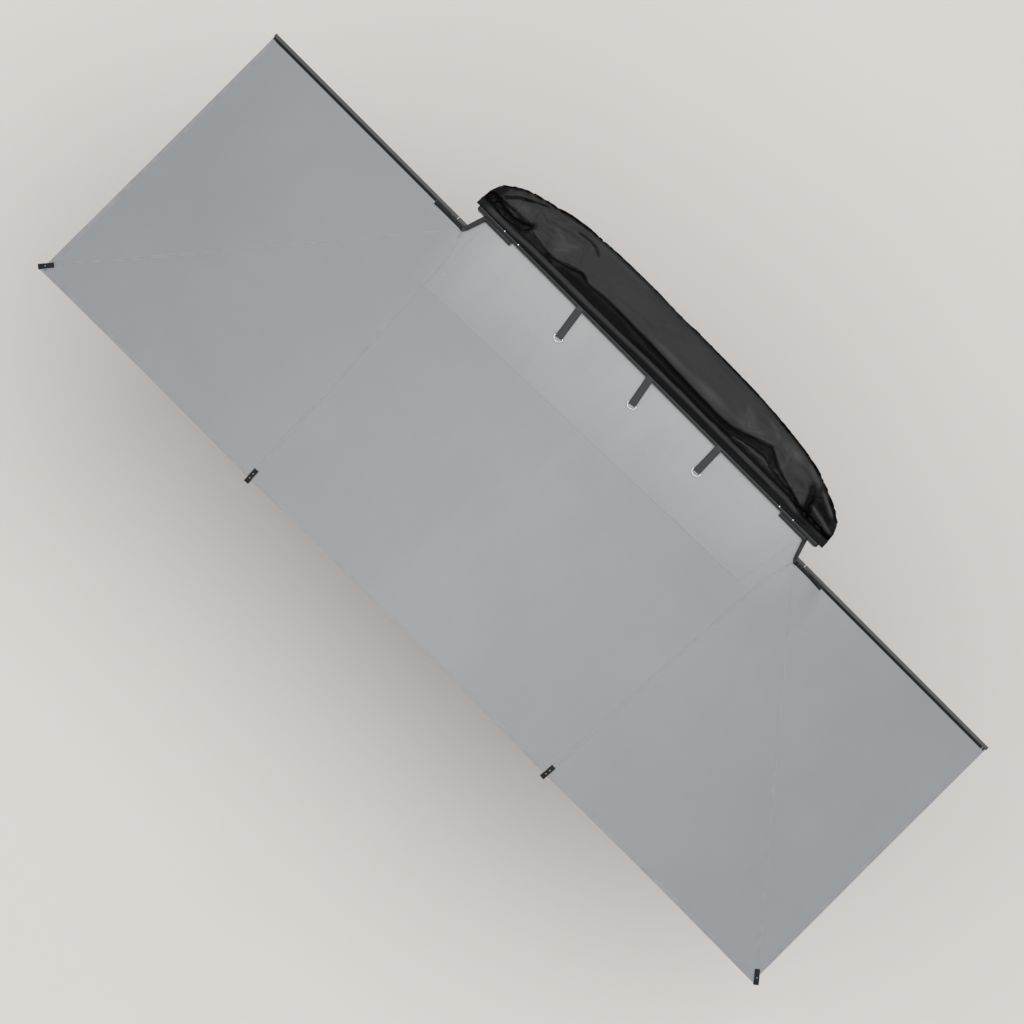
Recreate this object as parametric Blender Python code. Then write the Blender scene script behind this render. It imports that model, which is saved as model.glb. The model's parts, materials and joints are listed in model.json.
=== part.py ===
"""Vehicle side awning that opens through 180 degrees.

A rail is bolted to a roof rack by three feet. A bracket at each end of the rail holds one upright
hinge bolt, and three rafters turn on that bolt. The canvas is sewn from five panels: one between the
two middle rafters, and two on each side. The left rafters lie one layer above the right ones, so that
both sets fold flat along the rail. Each of the four outer rafters is an inverted channel that holds a
telescopic leg. The rest state is the open canopy with its legs stowed.

+X runs along the rail, +Y points to the vehicle, +Z is up. The origin is the centre of the underside
of the middle foot. Sizes are in metres.
"""

import math

import bmesh
import bpy
from mathutils import Matrix, Vector

# Fit between pieces
GAP = 0.0003
BOLT_PLAY = 0.0004

# How far a shape that is joined to another stays inside the other's faces
JOIN_INSET = 0.0002

# Rail
RAIL_LENGTH = 2.410
RAIL_DEPTH = 0.054
RAIL_TOP = 0.108
RAIL_BELOW_FEET = 0.010
RAIL_BOTTOM = -RAIL_BELOW_FEET
RAIL_BACK_FROM_FOOT = 0.030
RAIL_BACK_Y = -RAIL_BACK_FROM_FOOT
RAIL_WALL = 0.003
END_CAP = 0.008
TRACK_MOUTH = 0.003
TRACK_LIP = 0.003
TRACK_ROOM = 0.008
CANVAS_TRACK_DROP = 0.0094
COVER_TRACK_SETBACK = 0.0165
KEDER_RADIUS = 0.0036

# Feet that carry the rail
FOOT_SPACING = 0.750
FOOT_X = (-FOOT_SPACING, 0.0, FOOT_SPACING)
FOOT_NAMES = ("left", "middle", "right")
FOOT_WIDTH = 0.060
FOOT_PLATE = 0.006
FOOT_REACH = 0.060
FOOT_UPRIGHT = 0.085
FOOT_HOLE_RADIUS = 0.0045
FOOT_HOLE_SPACING = 0.034
FOOT_HOLE_REACH = 0.042
FOOT_BOLT_RADIUS = 0.005
FOOT_BOLT_HEAD = 0.0065
FOOT_BOLT_HEAD_RADIUS = 0.009
FOOT_BOLT_Z = 0.055
FOOT_BOLT_LENGTH = 0.024

# Hinge at each end of the rail
PIN_FROM_RAIL_END = 0.017
PIN_X = RAIL_LENGTH / 2 - PIN_FROM_RAIL_END
PIN_REACH = 0.128
BRACKET_FROM_RAIL_END = 0.045
BRACKET_LENGTH = 0.195
BRACKET_OUTER_X = RAIL_LENGTH / 2 - BRACKET_FROM_RAIL_END
BRACKET_INNER_X = BRACKET_OUTER_X - BRACKET_LENGTH
BRACKET_PROUD = 0.022
BRACKET_SHELF_DROP = 0.002
BRACKET_FLANGE = 0.005
BRACKET_PLATE = 0.004
ARM_HALF_WIDTH = 0.0125
ARM_WEB = 0.004
ARM_WEB_CLEAR = 0.026
KNUCKLE_RADIUS = 0.012
HINGE_PLATE = 0.003
HINGE_BOLT_RADIUS = 0.006
HINGE_HEAD_RADIUS = 0.0105
HINGE_HEAD = 0.0075
HINGE_NUT = 0.010
LAYER_DROP = 0.043
CANVAS_ABOVE_LEFT = 0.034

# Rafters
RAFTER_WIDTH = 0.022
RAFTER_HEIGHT = 0.030
RAFTER_WALL = 0.0015
RAFTER_START = 0.030
MID_LANE = 0.0275
MID_START = 0.050
SIDE_WIDTH = 0.017
SIDE_WALL = 0.0018
SIDE_LANE = 0.016
SIDE_START = 0.006
SIDE_CAP = 0.004
SIDE_GROOVE = 0.003
SIDE_GROOVE_PLAY = 0.0005
CANVAS_IN_GROOVE = 0.002
SIDE_STRAP_LENGTH = 0.200
SIDE_SLOT_LENGTH = 0.110
CLEVIS_GRIP = 0.065
CLEVIS_BLOCK = 0.014

# Canvas
CANVAS_PAST_PIN = 1.370
CANVAS_HALF_WIDTH = PIN_X + CANVAS_PAST_PIN
CANVAS_CUT_CLEAR = 0.003
CANVAS_REACH = 1.6615
CORNER_SHORT = 0.031
CORNER_REACH = CANVAS_REACH - CORNER_SHORT
CANVAS_THICKNESS = 0.0012
CANVAS_SEAT = 0.0006
SEAM_GAP = 0.0003
MID_LEAN = 0.124
RISE_FLAT = 0.100
RISE_SIDE = 0.200
RISE_OUT = 0.600
ELBOW_CLEAR = 0.0015
SEAM_KNEE = 0.160

# Rafter tips and legs
TIP_PROUD_CORNER = 0.0355
TIP_PROUD_MID = 0.023
TIP_TONGUE = 0.062
TIP_WALL = 0.0015
TIP_PLATE = 0.004
TIP_END_WALL = 0.003
TIP_CANVAS_CLEAR = 0.0015
TIP_OVERLAP = 0.001
PIVOT_SETBACK = 0.014
LEG_PIN_RADIUS = 0.003
LEG_PIN_HEAD_RADIUS = 0.0045
LEG_PIN_HEAD = 0.0015
LEG_RADIUS = 0.0085
LEG_WALL = 0.0012
LEG_LENGTH = 1.100
LEG_PLUG = 0.020
LEG_NOSE = 0.0034
LEG_SLIDE_PLAY = 0.0004
LEG_INNER_START = 0.030
LEG_INNER_PROUD = 0.020
LEG_INNER_END = LEG_LENGTH + LEG_INNER_PROUD
FOOT_PAD_RADIUS = 0.0088
FOOT_PAD = 0.025

# Cover, straps and rings
COVER_PAST_RAIL = 0.035
COVER_HALF_LENGTH = RAIL_LENGTH / 2 + COVER_PAST_RAIL
COVER_DEPTH = 0.358
COVER_END_DEPTH = 0.190
COVER_SHEET = 0.0015
COVER_FLOOR = 0.012
COVER_HEIGHT = 0.092
COVER_EDGE_HEIGHT = 0.026
COVER_HEM = 0.006
COVER_LIP = 0.002
COVER_BOLT_CLEAR = 0.004
COVER_VALLEY = 0.018
COVER_DIP = 0.0306
COVER_DIP_SHARE = 0.12
COVER_RISE_SHARE = 0.32
COVER_CROWN_SHARE = 0.62
COVER_FALL_SHARE = 0.88
COVER_FULL_SHARE = 0.45
COVER_STATIONS = 15
STRAP_WIDTH = 0.040
STRAP_THICKNESS = 0.0018
STRAP_X = (-0.485, 0.016, 0.511)
STRAP_NAMES = ("left", "middle", "right")
STRAP_TILT_DEG = (8.4, 10.4, 1.3)
STRAP_REACH = (0.177, 0.155, 0.161)
STRAP_ROOT = 0.012
STRAP_EDGE = 0.012
STRAP_DIP = 0.0012
STRAP_FOLD_BACK = 0.045
RING_WIRE = 0.0025
RING_HALF_WIDTH = 0.0255
RING_DEPTH = 0.024
RING_BAR_SHARE = 0.66
RING_STEPS = 10

MERGE = 0.00001

FRONT_Y = RAIL_BACK_Y - RAIL_DEPTH
PIN_Y = FRONT_Y - PIN_REACH
CANVAS_TRACK_Z = RAIL_TOP - CANVAS_TRACK_DROP
CANVAS_RAIL_Z = CANVAS_TRACK_Z - CANVAS_THICKNESS / 2
LEFT_Z = CANVAS_RAIL_Z - CANVAS_ABOVE_LEFT
RIGHT_Z = LEFT_Z - LAYER_DROP
RAFTER_HALF = RAFTER_HEIGHT / 2
SEAT_Z = RAFTER_HALF + CANVAS_SEAT
OUTER_Y = PIN_Y - CANVAS_REACH

SIDES = {"left": -1, "right": 1}
CENTRE_Z = {"left": LEFT_Z, "right": RIGHT_Z}


def stack_level(index):
    """Height of the underside of hinge plate number index above the middle of a rafter."""
    return RAFTER_HALF + GAP + index * (HINGE_PLATE + GAP)


CORNER_LEVEL = stack_level(0)
SIDE_LEVEL = stack_level(1)
MID_LEVEL = stack_level(2)
BRACKET_LEVEL = stack_level(3)
SIDE_HALF_HEIGHT = SIDE_LEVEL - GAP
BRACKET_TOP = BRACKET_LEVEL + BRACKET_PLATE

# Matrices that stand a drawn outline up: the outline's X and Y, and the way it is extruded
ALONG_X = Matrix(((0, 0, 1, 0), (1, 0, 0, 0), (0, 1, 0, 0), (0, 0, 0, 1)))


def clear_scene():
    for old in list(bpy.data.objects):
        bpy.data.objects.remove(old, do_unlink=True)


def make_material(name, colour, roughness, metallic):
    material = bpy.data.materials.new(name)
    material.use_nodes = True
    shader = material.node_tree.nodes["Principled BSDF"]
    shader.inputs["Base Color"].default_value = (*colour, 1.0)
    shader.inputs["Roughness"].default_value = roughness
    shader.inputs["Metallic"].default_value = metallic
    return material


FINISHES = {
    "powder_coat": ((0.040, 0.043, 0.046), 0.45, 0.5),
    "coated_aluminium": ((0.032, 0.034, 0.037), 0.45, 0.5),
    "black_plastic": ((0.015, 0.015, 0.016), 0.5, 0.0),
    "zinc_steel": ((0.55, 0.56, 0.57), 0.35, 1.0),
    "bright_steel": ((0.75, 0.75, 0.76), 0.18, 1.0),
    "leg_aluminium": ((0.60, 0.61, 0.62), 0.35, 1.0),
    "canvas": ((0.35, 0.36, 0.375), 0.85, 0.0),
    "cover_sheet": ((0.018, 0.018, 0.019), 0.35, 0.0),
    "webbing": ((0.055, 0.057, 0.060), 0.8, 0.0),
}


def add_object(name, bm, finish, parent=None, smooth=False):
    bmesh.ops.recalc_face_normals(bm, faces=bm.faces)
    if bm.calc_volume(signed=True) < 0:
        bmesh.ops.reverse_faces(bm, faces=bm.faces)
    mesh = bpy.data.meshes.new(name)
    bm.to_mesh(mesh)
    bm.free()
    if smooth:
        mesh.shade_smooth()
        mesh.set_sharp_from_angle(angle=math.radians(35))
    piece = bpy.data.objects.new(name, mesh)
    bpy.context.scene.collection.objects.link(piece)
    mesh.materials.append(make_material(name, *FINISHES[finish]))
    if parent:
        piece.parent = parent
    return piece


def add_helper(name, bm, parent=None):
    """A shape that only cuts or joins another one."""
    helper = add_object(name, bm, "zinc_steel", parent)
    helper.hide_render = True
    helper.display_type = "WIRE"
    return helper


def combine(piece, helper, operation):
    modifier = piece.modifiers.new(helper.name, "BOOLEAN")
    modifier.operation = operation
    modifier.object = helper


def extruded(outline, depth, place=None, holes=()):
    """A drawn outline with its holes, extruded along +Z and then moved by place."""
    bm = bmesh.new()
    edges = []
    for loop in (outline, *holes):
        corners = [bm.verts.new((x, y, 0)) for x, y in loop]
        edges += [bm.edges.new((a, b)) for a, b in zip(corners, corners[1:] + corners[:1])]
    bmesh.ops.triangle_fill(bm, use_beauty=True, use_dissolve=False, edges=edges)
    grown = bmesh.ops.extrude_face_region(bm, geom=bm.faces[:])
    moved = [item for item in grown["geom"] if isinstance(item, bmesh.types.BMVert)]
    bmesh.ops.translate(bm, verts=moved, vec=(0, 0, depth))
    if place:
        bmesh.ops.transform(bm, matrix=place, verts=bm.verts)
    return bm


def block(low, high):
    (x0, y0, z0), (x1, y1, z1) = low, high
    return extruded(rectangle(x0, y0, x1, y1), z1 - z0, Matrix.Translation((0, 0, z0)))


def turned(profile, steps=24, place=None):
    """A profile of (radius, height) points, from the axis to the axis, turned round Z."""
    bm = bmesh.new()
    points = [bm.verts.new((radius, 0, height)) for radius, height in profile]
    edges = [bm.edges.new(pair) for pair in zip(points, points[1:])]
    bmesh.ops.spin(
        bm, geom=points + edges, cent=(0, 0, 0), axis=(0, 0, 1), angle=math.tau, steps=steps, use_merge=True
    )
    bmesh.ops.remove_doubles(bm, verts=bm.verts, dist=MERGE)
    if place:
        bmesh.ops.transform(bm, matrix=place, verts=bm.verts)
    return bm


def rod(radius, low, high, steps=24, place=None):
    return turned([(0, low), (radius, low), (radius, high), (0, high)], steps, place)


def rectangle(x0, y0, x1, y1):
    return [(x0, y0), (x1, y0), (x1, y1), (x0, y1)]


def arc(centre, radius, start_deg, end_deg, steps):
    angles = [math.radians(start_deg + (end_deg - start_deg) * i / steps) for i in range(steps + 1)]
    return [(centre[0] + radius * math.cos(a), centre[1] + radius * math.sin(a)) for a in angles]


def smooth_step(t):
    t = min(max(t, 0.0), 1.0)
    return t * t * (3 - 2 * t)


def mix(a, b, t):
    return a + (b - a) * t


# Rail, its tracks and its end caps


def rail_section():
    """The rail's outline in (y, z): the canvas track is in the front, the cover track in the top."""
    half = TRACK_MOUTH / 2
    room = TRACK_ROOM / 2
    track_z = CANVAS_TRACK_Z
    cover_y = FRONT_Y + COVER_TRACK_SETBACK
    lip_y = FRONT_Y + TRACK_LIP
    lip_z = RAIL_TOP - TRACK_LIP
    return [
        (FRONT_Y, RAIL_BOTTOM),
        (RAIL_BACK_Y, RAIL_BOTTOM),
        (RAIL_BACK_Y, RAIL_TOP),
        (cover_y + half, RAIL_TOP),
        (cover_y + half, lip_z),
        (cover_y + room, lip_z),
        (cover_y + room, lip_z - TRACK_ROOM),
        (cover_y - room, lip_z - TRACK_ROOM),
        (cover_y - room, lip_z),
        (cover_y - half, lip_z),
        (cover_y - half, RAIL_TOP),
        (FRONT_Y, RAIL_TOP),
        (FRONT_Y, track_z + half),
        (lip_y, track_z + half),
        (lip_y, track_z + room),
        (lip_y + TRACK_ROOM, track_z + room),
        (lip_y + TRACK_ROOM, track_z - room),
        (lip_y, track_z - room),
        (lip_y, track_z - half),
        (FRONT_Y, track_z - half),
    ]


def make_rail():
    hollow = rectangle(
        FRONT_Y + RAIL_WALL,
        RAIL_BOTTOM + RAIL_WALL,
        RAIL_BACK_Y - RAIL_WALL,
        CANVAS_TRACK_Z - TRACK_ROOM / 2 - RAIL_WALL,
    )
    start = Matrix.Translation((-RAIL_LENGTH / 2, 0, 0))
    shape = extruded(rail_section(), RAIL_LENGTH, start @ ALONG_X, [hollow])
    rail = add_object("rail", shape, "coated_aluminium")
    for name, x in zip(FOOT_NAMES, FOOT_X):
        hole = rod(FOOT_BOLT_RADIUS + BOLT_PLAY, -RAIL_DEPTH / 2, RAIL_WALL, 16, foot_bolt_place(x))
        combine(rail, add_helper(f"rail_hole_{name}", hole), "DIFFERENCE")
    for name, side in SIDES.items():
        cap = block((-END_CAP / 2, FRONT_Y, RAIL_BOTTOM), (END_CAP / 2, RAIL_BACK_Y, RAIL_TOP))
        piece = add_object(f"rail_end_cap_{name}", cap, "black_plastic")
        piece.location.x = side * (RAIL_LENGTH / 2 + GAP + END_CAP / 2)
        bevel = piece.modifiers.new("rounded", "BEVEL")
        bevel.width = END_CAP / 4
        bevel.segments = 2
    for name, y, z in (
        ("canvas_keder", FRONT_Y + TRACK_LIP + TRACK_ROOM / 2, CANVAS_TRACK_Z),
        ("cover_keder", FRONT_Y + COVER_TRACK_SETBACK, RAIL_TOP - TRACK_LIP - TRACK_ROOM / 2),
    ):
        place = Matrix.Translation((0, y, z)) @ ALONG_X
        cord = rod(KEDER_RADIUS, -RAIL_LENGTH / 2, RAIL_LENGTH / 2, 12, place)
        add_object(name, cord, "webbing", smooth=True)


def foot_bolt_place(x):
    """Puts a turned piece's axis along -Y, with its zero at the rail's back face."""
    return Matrix.Translation((x, RAIL_BACK_Y, FOOT_BOLT_Z)) @ Matrix.Rotation(math.radians(90), 4, "X")


def make_feet():
    back = RAIL_BACK_Y + GAP
    for name, x in zip(FOOT_NAMES, FOOT_X):
        outline = [
            (back, 0),
            (back + FOOT_REACH, 0),
            (back + FOOT_REACH, FOOT_PLATE),
            (back + FOOT_PLATE + FOOT_PLATE / 2, FOOT_PLATE),
            (back + FOOT_PLATE, FOOT_PLATE + FOOT_PLATE / 2),
            (back + FOOT_PLATE, FOOT_UPRIGHT),
            (back, FOOT_UPRIGHT),
        ]
        start = Matrix.Translation((x - FOOT_WIDTH / 2, 0, 0))
        shape = extruded(outline, FOOT_WIDTH, start @ ALONG_X)
        foot = add_object(f"mounting_foot_{name}", shape, "zinc_steel")
        bolt_hole = rod(FOOT_BOLT_RADIUS + BOLT_PLAY, -RAIL_DEPTH / 2, RAIL_WALL, 16, foot_bolt_place(x))
        combine(foot, add_helper(f"foot_bolt_hole_{name}", bolt_hole), "DIFFERENCE")
        for end in (-1, 1):
            centre = Matrix.Translation((x + end * FOOT_HOLE_SPACING / 2, back + FOOT_HOLE_REACH, 0))
            hole = rod(FOOT_HOLE_RADIUS, -FOOT_PLATE, 2 * FOOT_PLATE, 16, centre)
            combine(foot, add_helper(f"foot_hole_{name}_{end + 1}", hole), "DIFFERENCE")
        outer = -(GAP + FOOT_PLATE + GAP)
        profile = [
            (0, outer - FOOT_BOLT_HEAD),
            (FOOT_BOLT_HEAD_RADIUS, outer - FOOT_BOLT_HEAD),
            (FOOT_BOLT_HEAD_RADIUS, outer),
            (FOOT_BOLT_RADIUS, outer),
            (FOOT_BOLT_RADIUS, outer + FOOT_BOLT_LENGTH),
            (0, outer + FOOT_BOLT_LENGTH),
        ]
        add_object(f"mounting_bolt_{name}", turned(profile, 18, foot_bolt_place(x)), "bright_steel")


# Hinge bracket, bolt and nut at each end


def bracket_outline(side):
    """Plan of the dog-leg bracket: a strip on the rail, then an arm out to a round elbow at the pin."""
    pin = Vector((PIN_X, PIN_Y))
    start = Vector((BRACKET_OUTER_X - ARM_HALF_WIDTH, FRONT_Y - ARM_HALF_WIDTH))
    along = (pin - start).normalized()
    across = Vector((-along.y, along.x))
    inner = start - across * ARM_HALF_WIDTH
    turn = math.degrees(math.atan2(-across.y, -across.x))
    elbow = arc(pin, KNUCKLE_RADIUS, turn, turn + 180, 10)
    points = [
        (BRACKET_INNER_X, FRONT_Y - GAP),
        (BRACKET_INNER_X, FRONT_Y - BRACKET_PROUD),
        (inner.x, FRONT_Y - BRACKET_PROUD),
        *elbow,
        (BRACKET_OUTER_X, FRONT_Y - GAP),
    ]
    return [(side * x, y) for x, y in points], start, along, across


def make_bracket(name, side):
    centre_z = CENTRE_Z[name]
    outline, start, along, across = bracket_outline(side)
    raised = Matrix.Translation((0, 0, centre_z + BRACKET_LEVEL))
    bracket = add_object(f"hinge_bracket_{name}", extruded(outline, BRACKET_PLATE, raised), "powder_coat")
    lowered = Matrix.Translation((0, 0, centre_z - BRACKET_TOP))
    lower = extruded(outline, BRACKET_PLATE, lowered)
    inside = BRACKET_LEVEL + BRACKET_PLATE / 2
    xs = sorted((side * (BRACKET_INNER_X + JOIN_INSET), side * (BRACKET_OUTER_X - ARM_HALF_WIDTH)))
    flange_y = FRONT_Y - GAP - JOIN_INSET
    shelf_top = RAIL_TOP - BRACKET_SHELF_DROP
    low = (xs[0], flange_y - BRACKET_FLANGE, centre_z - inside)
    flange = block(low, (xs[1], flange_y, shelf_top - JOIN_INSET))
    shelf_low = (xs[0] - JOIN_INSET, FRONT_Y - BRACKET_PROUD, shelf_top - BRACKET_PLATE)
    shelf = block(shelf_low, (xs[1] + JOIN_INSET, FRONT_Y - GAP, shelf_top))
    foot = start - along * ARM_HALF_WIDTH / 2
    tip = Vector((PIN_X, PIN_Y)) - along * ARM_WEB_CLEAR
    wide = across * ARM_WEB / 2
    corners = [foot - wide, tip - wide, tip + wide, foot + wide]
    rise = Matrix.Translation((0, 0, centre_z - inside))
    web = extruded([(side * c.x, c.y) for c in corners], 2 * inside, rise)
    for label, shape in (("lower", lower), ("flange", flange), ("shelf", shelf), ("web", web)):
        combine(bracket, add_helper(f"bracket_{label}_{name}", shape), "UNION")
    pin = Matrix.Translation((side * PIN_X, PIN_Y, centre_z))
    hole = rod(HINGE_BOLT_RADIUS + BOLT_PLAY, -2 * BRACKET_TOP, 2 * BRACKET_TOP, 24, pin)
    combine(bracket, add_helper(f"bracket_hole_{name}", hole), "DIFFERENCE")
    head = BRACKET_TOP + GAP
    end = -(BRACKET_TOP + GAP + HINGE_NUT + GAP)
    profile = [
        (0, end),
        (HINGE_BOLT_RADIUS, end),
        (HINGE_BOLT_RADIUS, head),
        (HINGE_HEAD_RADIUS, head),
        (HINGE_HEAD_RADIUS, head + HINGE_HEAD),
        (0, head + HINGE_HEAD),
    ]
    add_object(f"hinge_bolt_{name}", turned(profile, 24, pin), "powder_coat", smooth=True)
    nut_top = -(BRACKET_TOP + GAP)
    hexagon = arc((0, 0), HINGE_HEAD_RADIUS, 0, 300, 5)
    bore = arc((0, 0), HINGE_BOLT_RADIUS + BOLT_PLAY, 0, 345, 23)
    place = pin @ Matrix.Translation((0, 0, nut_top - HINGE_NUT))
    add_object(f"hinge_nut_{name}", extruded(hexagon, HINGE_NUT, place, [bore]), "zinc_steel")


# Rafters. Each is drawn along +X from its pin, with +Y towards the rail when it is stowed, and its
# empty carries it to its place. The right-hand ones are drawn with Y reversed.


def rafter_angles():
    """The turn in degrees from +X to each left rafter of the open canopy."""
    offset = math.asin(MID_LANE / math.hypot(CANVAS_REACH, MID_LEAN))
    mid = math.degrees(math.atan2(-CANVAS_REACH, MID_LEAN) - offset)
    corner = math.degrees(math.atan2(-CORNER_REACH, -CANVAS_PAST_PIN))
    return {"mid": mid, "corner": corner, "side": -180.0}


def rafter_reach(kind):
    """Distance from the pin to where this rafter meets the canvas's edge."""
    if kind == "side":
        return CANVAS_PAST_PIN
    if kind == "corner":
        return math.hypot(CORNER_REACH, CANVAS_PAST_PIN)
    return math.sqrt(CANVAS_REACH**2 + MID_LEAN**2 - MID_LANE**2)


def make_carrier(kind, name):
    side = SIDES[name]
    angle = rafter_angles()[kind]
    carrier = bpy.data.objects.new(f"carrier_{kind}_{name}", None)
    carrier.location = (side * PIN_X, PIN_Y, CENTRE_Z[name])
    carrier.rotation_euler.z = math.radians(angle if side < 0 else 180 - angle)
    bpy.context.scene.collection.objects.link(carrier)
    return carrier


def lane(kind, name):
    """The rafter's sideways place, and the sign that turns a left drawing into a right one."""
    flip = -SIDES[name]
    return (MID_LANE if kind == "mid" else 0.0), flip


def outline_at(points, flip):
    return [(x, flip * y) for x, y in points]


def add_pin_hole(piece, carrier):
    hole = rod(HINGE_BOLT_RADIUS + BOLT_PLAY, -2 * BRACKET_TOP, 2 * BRACKET_TOP, 24)
    combine(piece, add_helper(f"{piece.name}_hole", hole, carrier), "DIFFERENCE")


def make_clevis(kind, name, carrier):
    """The end casting of a leg rafter: a plate above and below it, joined in front of its end."""
    centre, flip = lane(kind, name)
    half = RAFTER_WIDTH / 2
    level = CORNER_LEVEL if kind == "corner" else MID_LEVEL
    start = RAFTER_START if kind == "corner" else MID_START
    front = start - CLEVIS_BLOCK
    end = start + CLEVIS_GRIP
    eye = arc((0, 0), KNUCKLE_RADIUS, 90, 270, 10)
    top = level + HINGE_PLATE
    slot = RAFTER_HALF + GAP
    jaw = [(front, -top), (end, -top), (end, -slot), (start - GAP, -slot)]
    jaw += [(x, -z) for x, z in reversed(jaw)]
    upright = Matrix.Translation((0, flip * centre + half, 0)) @ Matrix.Rotation(math.radians(90), 4, "X")
    clevis = add_object(f"{kind}_clevis_{name}", extruded(jaw, RAFTER_WIDTH, upright), "powder_coat", carrier)
    inset = half - JOIN_INSET
    inside = front + CLEVIS_BLOCK / 2
    tab = outline_at([*eye, (front, centre - inset), (inside, centre - inset)], flip)
    tab += outline_at([(inside, centre + inset), (front, centre + inset)], flip)
    thickness = HINGE_PLATE - JOIN_INSET
    for label, z in (("upper", level), ("lower", -level - thickness)):
        plate = extruded(tab, thickness, Matrix.Translation((0, 0, z)))
        combine(clevis, add_helper(f"{kind}_clevis_{label}_{name}", plate, carrier), "UNION")
    add_pin_hole(clevis, carrier)


def make_channel(kind, name, carrier):
    """An inverted channel that opens downwards and holds the leg."""
    centre, flip = lane(kind, name)
    half = RAFTER_WIDTH / 2
    inner = half - RAFTER_WALL
    section = [
        (-half, -RAFTER_HALF),
        (-inner, -RAFTER_HALF),
        (-inner, RAFTER_HALF - RAFTER_WALL),
        (inner, RAFTER_HALF - RAFTER_WALL),
        (inner, -RAFTER_HALF),
        (half, -RAFTER_HALF),
        (half, RAFTER_HALF),
        (-half, RAFTER_HALF),
    ]
    start = RAFTER_START if kind == "corner" else MID_START
    end = tip_end(kind) - TIP_END_WALL - GAP
    place = Matrix.Translation((start, flip * centre, 0)) @ ALONG_X
    shape = extruded(section, end - start, place)
    channel = add_object(f"{kind}_rafter_{name}", shape, "coated_aluminium", carrier)
    cut_pivot(channel, kind, name, carrier)


def edge_slant(kind):
    """How far the canvas's edge runs out along a rafter for each step across it."""
    angle = math.radians(rafter_angles()[kind])
    return abs(math.tan(angle)) if kind == "corner" else abs(1 / math.tan(angle))


def tip_end(kind):
    return rafter_reach(kind) + (TIP_PROUD_CORNER if kind == "corner" else TIP_PROUD_MID)


def pivot_place(kind, name):
    centre, flip = lane(kind, name)
    across = Matrix.Rotation(math.radians(90), 4, "X")
    return Matrix.Translation((tip_end(kind) - PIVOT_SETBACK, flip * centre, 0)) @ across


def cut_pivot(piece, kind, name, carrier):
    hole = rod(LEG_PIN_RADIUS + BOLT_PLAY, -RAFTER_WIDTH, RAFTER_WIDTH, 16, pivot_place(kind, name))
    combine(piece, add_helper(f"{piece.name}_pivot_hole", hole, carrier), "DIFFERENCE")


def make_tip(kind, name, carrier):
    """The black end fitting: walls beside the channel, and a tongue that holds the canvas down."""
    centre, flip = lane(kind, name)
    end = tip_end(kind)
    inner = RAFTER_WIDTH / 2 + GAP
    outer = inner + TIP_WALL
    edge = rafter_reach(kind) + outer * edge_slant(kind) + TIP_CANVAS_CLEAR
    tongue_z = SEAT_Z + CANVAS_THICKNESS + GAP
    top = tongue_z + TIP_PLATE
    y = flip * centre
    roof = block((edge, y - outer, RAFTER_HALF + GAP), (end, y + outer, top))
    tip = add_object(f"{kind}_tip_{name}", roof, "black_plastic", carrier)
    low, high = -RAFTER_HALF, RAFTER_HALF + GAP + TIP_OVERLAP
    shapes = {
        "tongue": block((edge - TIP_TONGUE, y - outer, tongue_z), (edge + TIP_OVERLAP, y + outer, top)),
        "wall_a": block((edge, y - outer, low), (end, y - inner, high)),
        "wall_b": block((edge, y + inner, low), (end, y + outer, high)),
        "end": block((end - TIP_END_WALL, y - outer, low), (end, y + outer, high)),
    }
    for label, shape in shapes.items():
        combine(tip, add_helper(f"{kind}_tip_{label}_{name}", shape, carrier), "UNION")
    cut_pivot(tip, kind, name, carrier)
    reach = outer + GAP
    profile = [
        (0, -reach - LEG_PIN_HEAD),
        (LEG_PIN_HEAD_RADIUS, -reach - LEG_PIN_HEAD),
        (LEG_PIN_HEAD_RADIUS, -reach),
        (LEG_PIN_RADIUS, -reach),
        (LEG_PIN_RADIUS, reach),
        (LEG_PIN_HEAD_RADIUS, reach),
        (LEG_PIN_HEAD_RADIUS, reach + LEG_PIN_HEAD),
        (0, reach + LEG_PIN_HEAD),
    ]
    pin = turned(profile, 16, pivot_place(kind, name))
    add_object(f"{kind}_leg_pin_{name}", pin, "zinc_steel", carrier, True)


def make_leg(kind, name, carrier):
    """A leg of two tubes that lies in the channel, from its pivot back towards the hinge."""
    centre, flip = lane(kind, name)
    pivot = Matrix.Translation((tip_end(kind) - PIVOT_SETBACK, flip * centre, 0))
    back = pivot @ Matrix.Rotation(math.radians(-90), 4, "Y")
    bore = LEG_RADIUS - LEG_WALL
    profile = [
        (0, -LEG_RADIUS),
        (LEG_RADIUS - LEG_NOSE, -LEG_RADIUS),
        (LEG_RADIUS, -LEG_NOSE),
        (LEG_RADIUS, LEG_LENGTH),
        (bore, LEG_LENGTH),
        (bore, LEG_PLUG),
        (0, LEG_PLUG),
    ]
    outer = add_object(f"{kind}_leg_outer_{name}", turned(profile, 20, back), "leg_aluminium", carrier, True)
    cut_pivot(outer, kind, name, carrier)
    radius = bore - LEG_SLIDE_PLAY
    hollow = radius - LEG_WALL
    profile = [
        (0, LEG_INNER_END + FOOT_PAD),
        (FOOT_PAD_RADIUS, LEG_INNER_END + FOOT_PAD),
        (FOOT_PAD_RADIUS, LEG_INNER_END),
        (radius, LEG_INNER_END),
        (radius, LEG_INNER_START),
        (hollow, LEG_INNER_START),
        (hollow, LEG_INNER_END),
        (0, LEG_INNER_END),
    ]
    add_object(f"{kind}_leg_inner_{name}", turned(profile, 20, back), "leg_aluminium", carrier, True)


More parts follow.
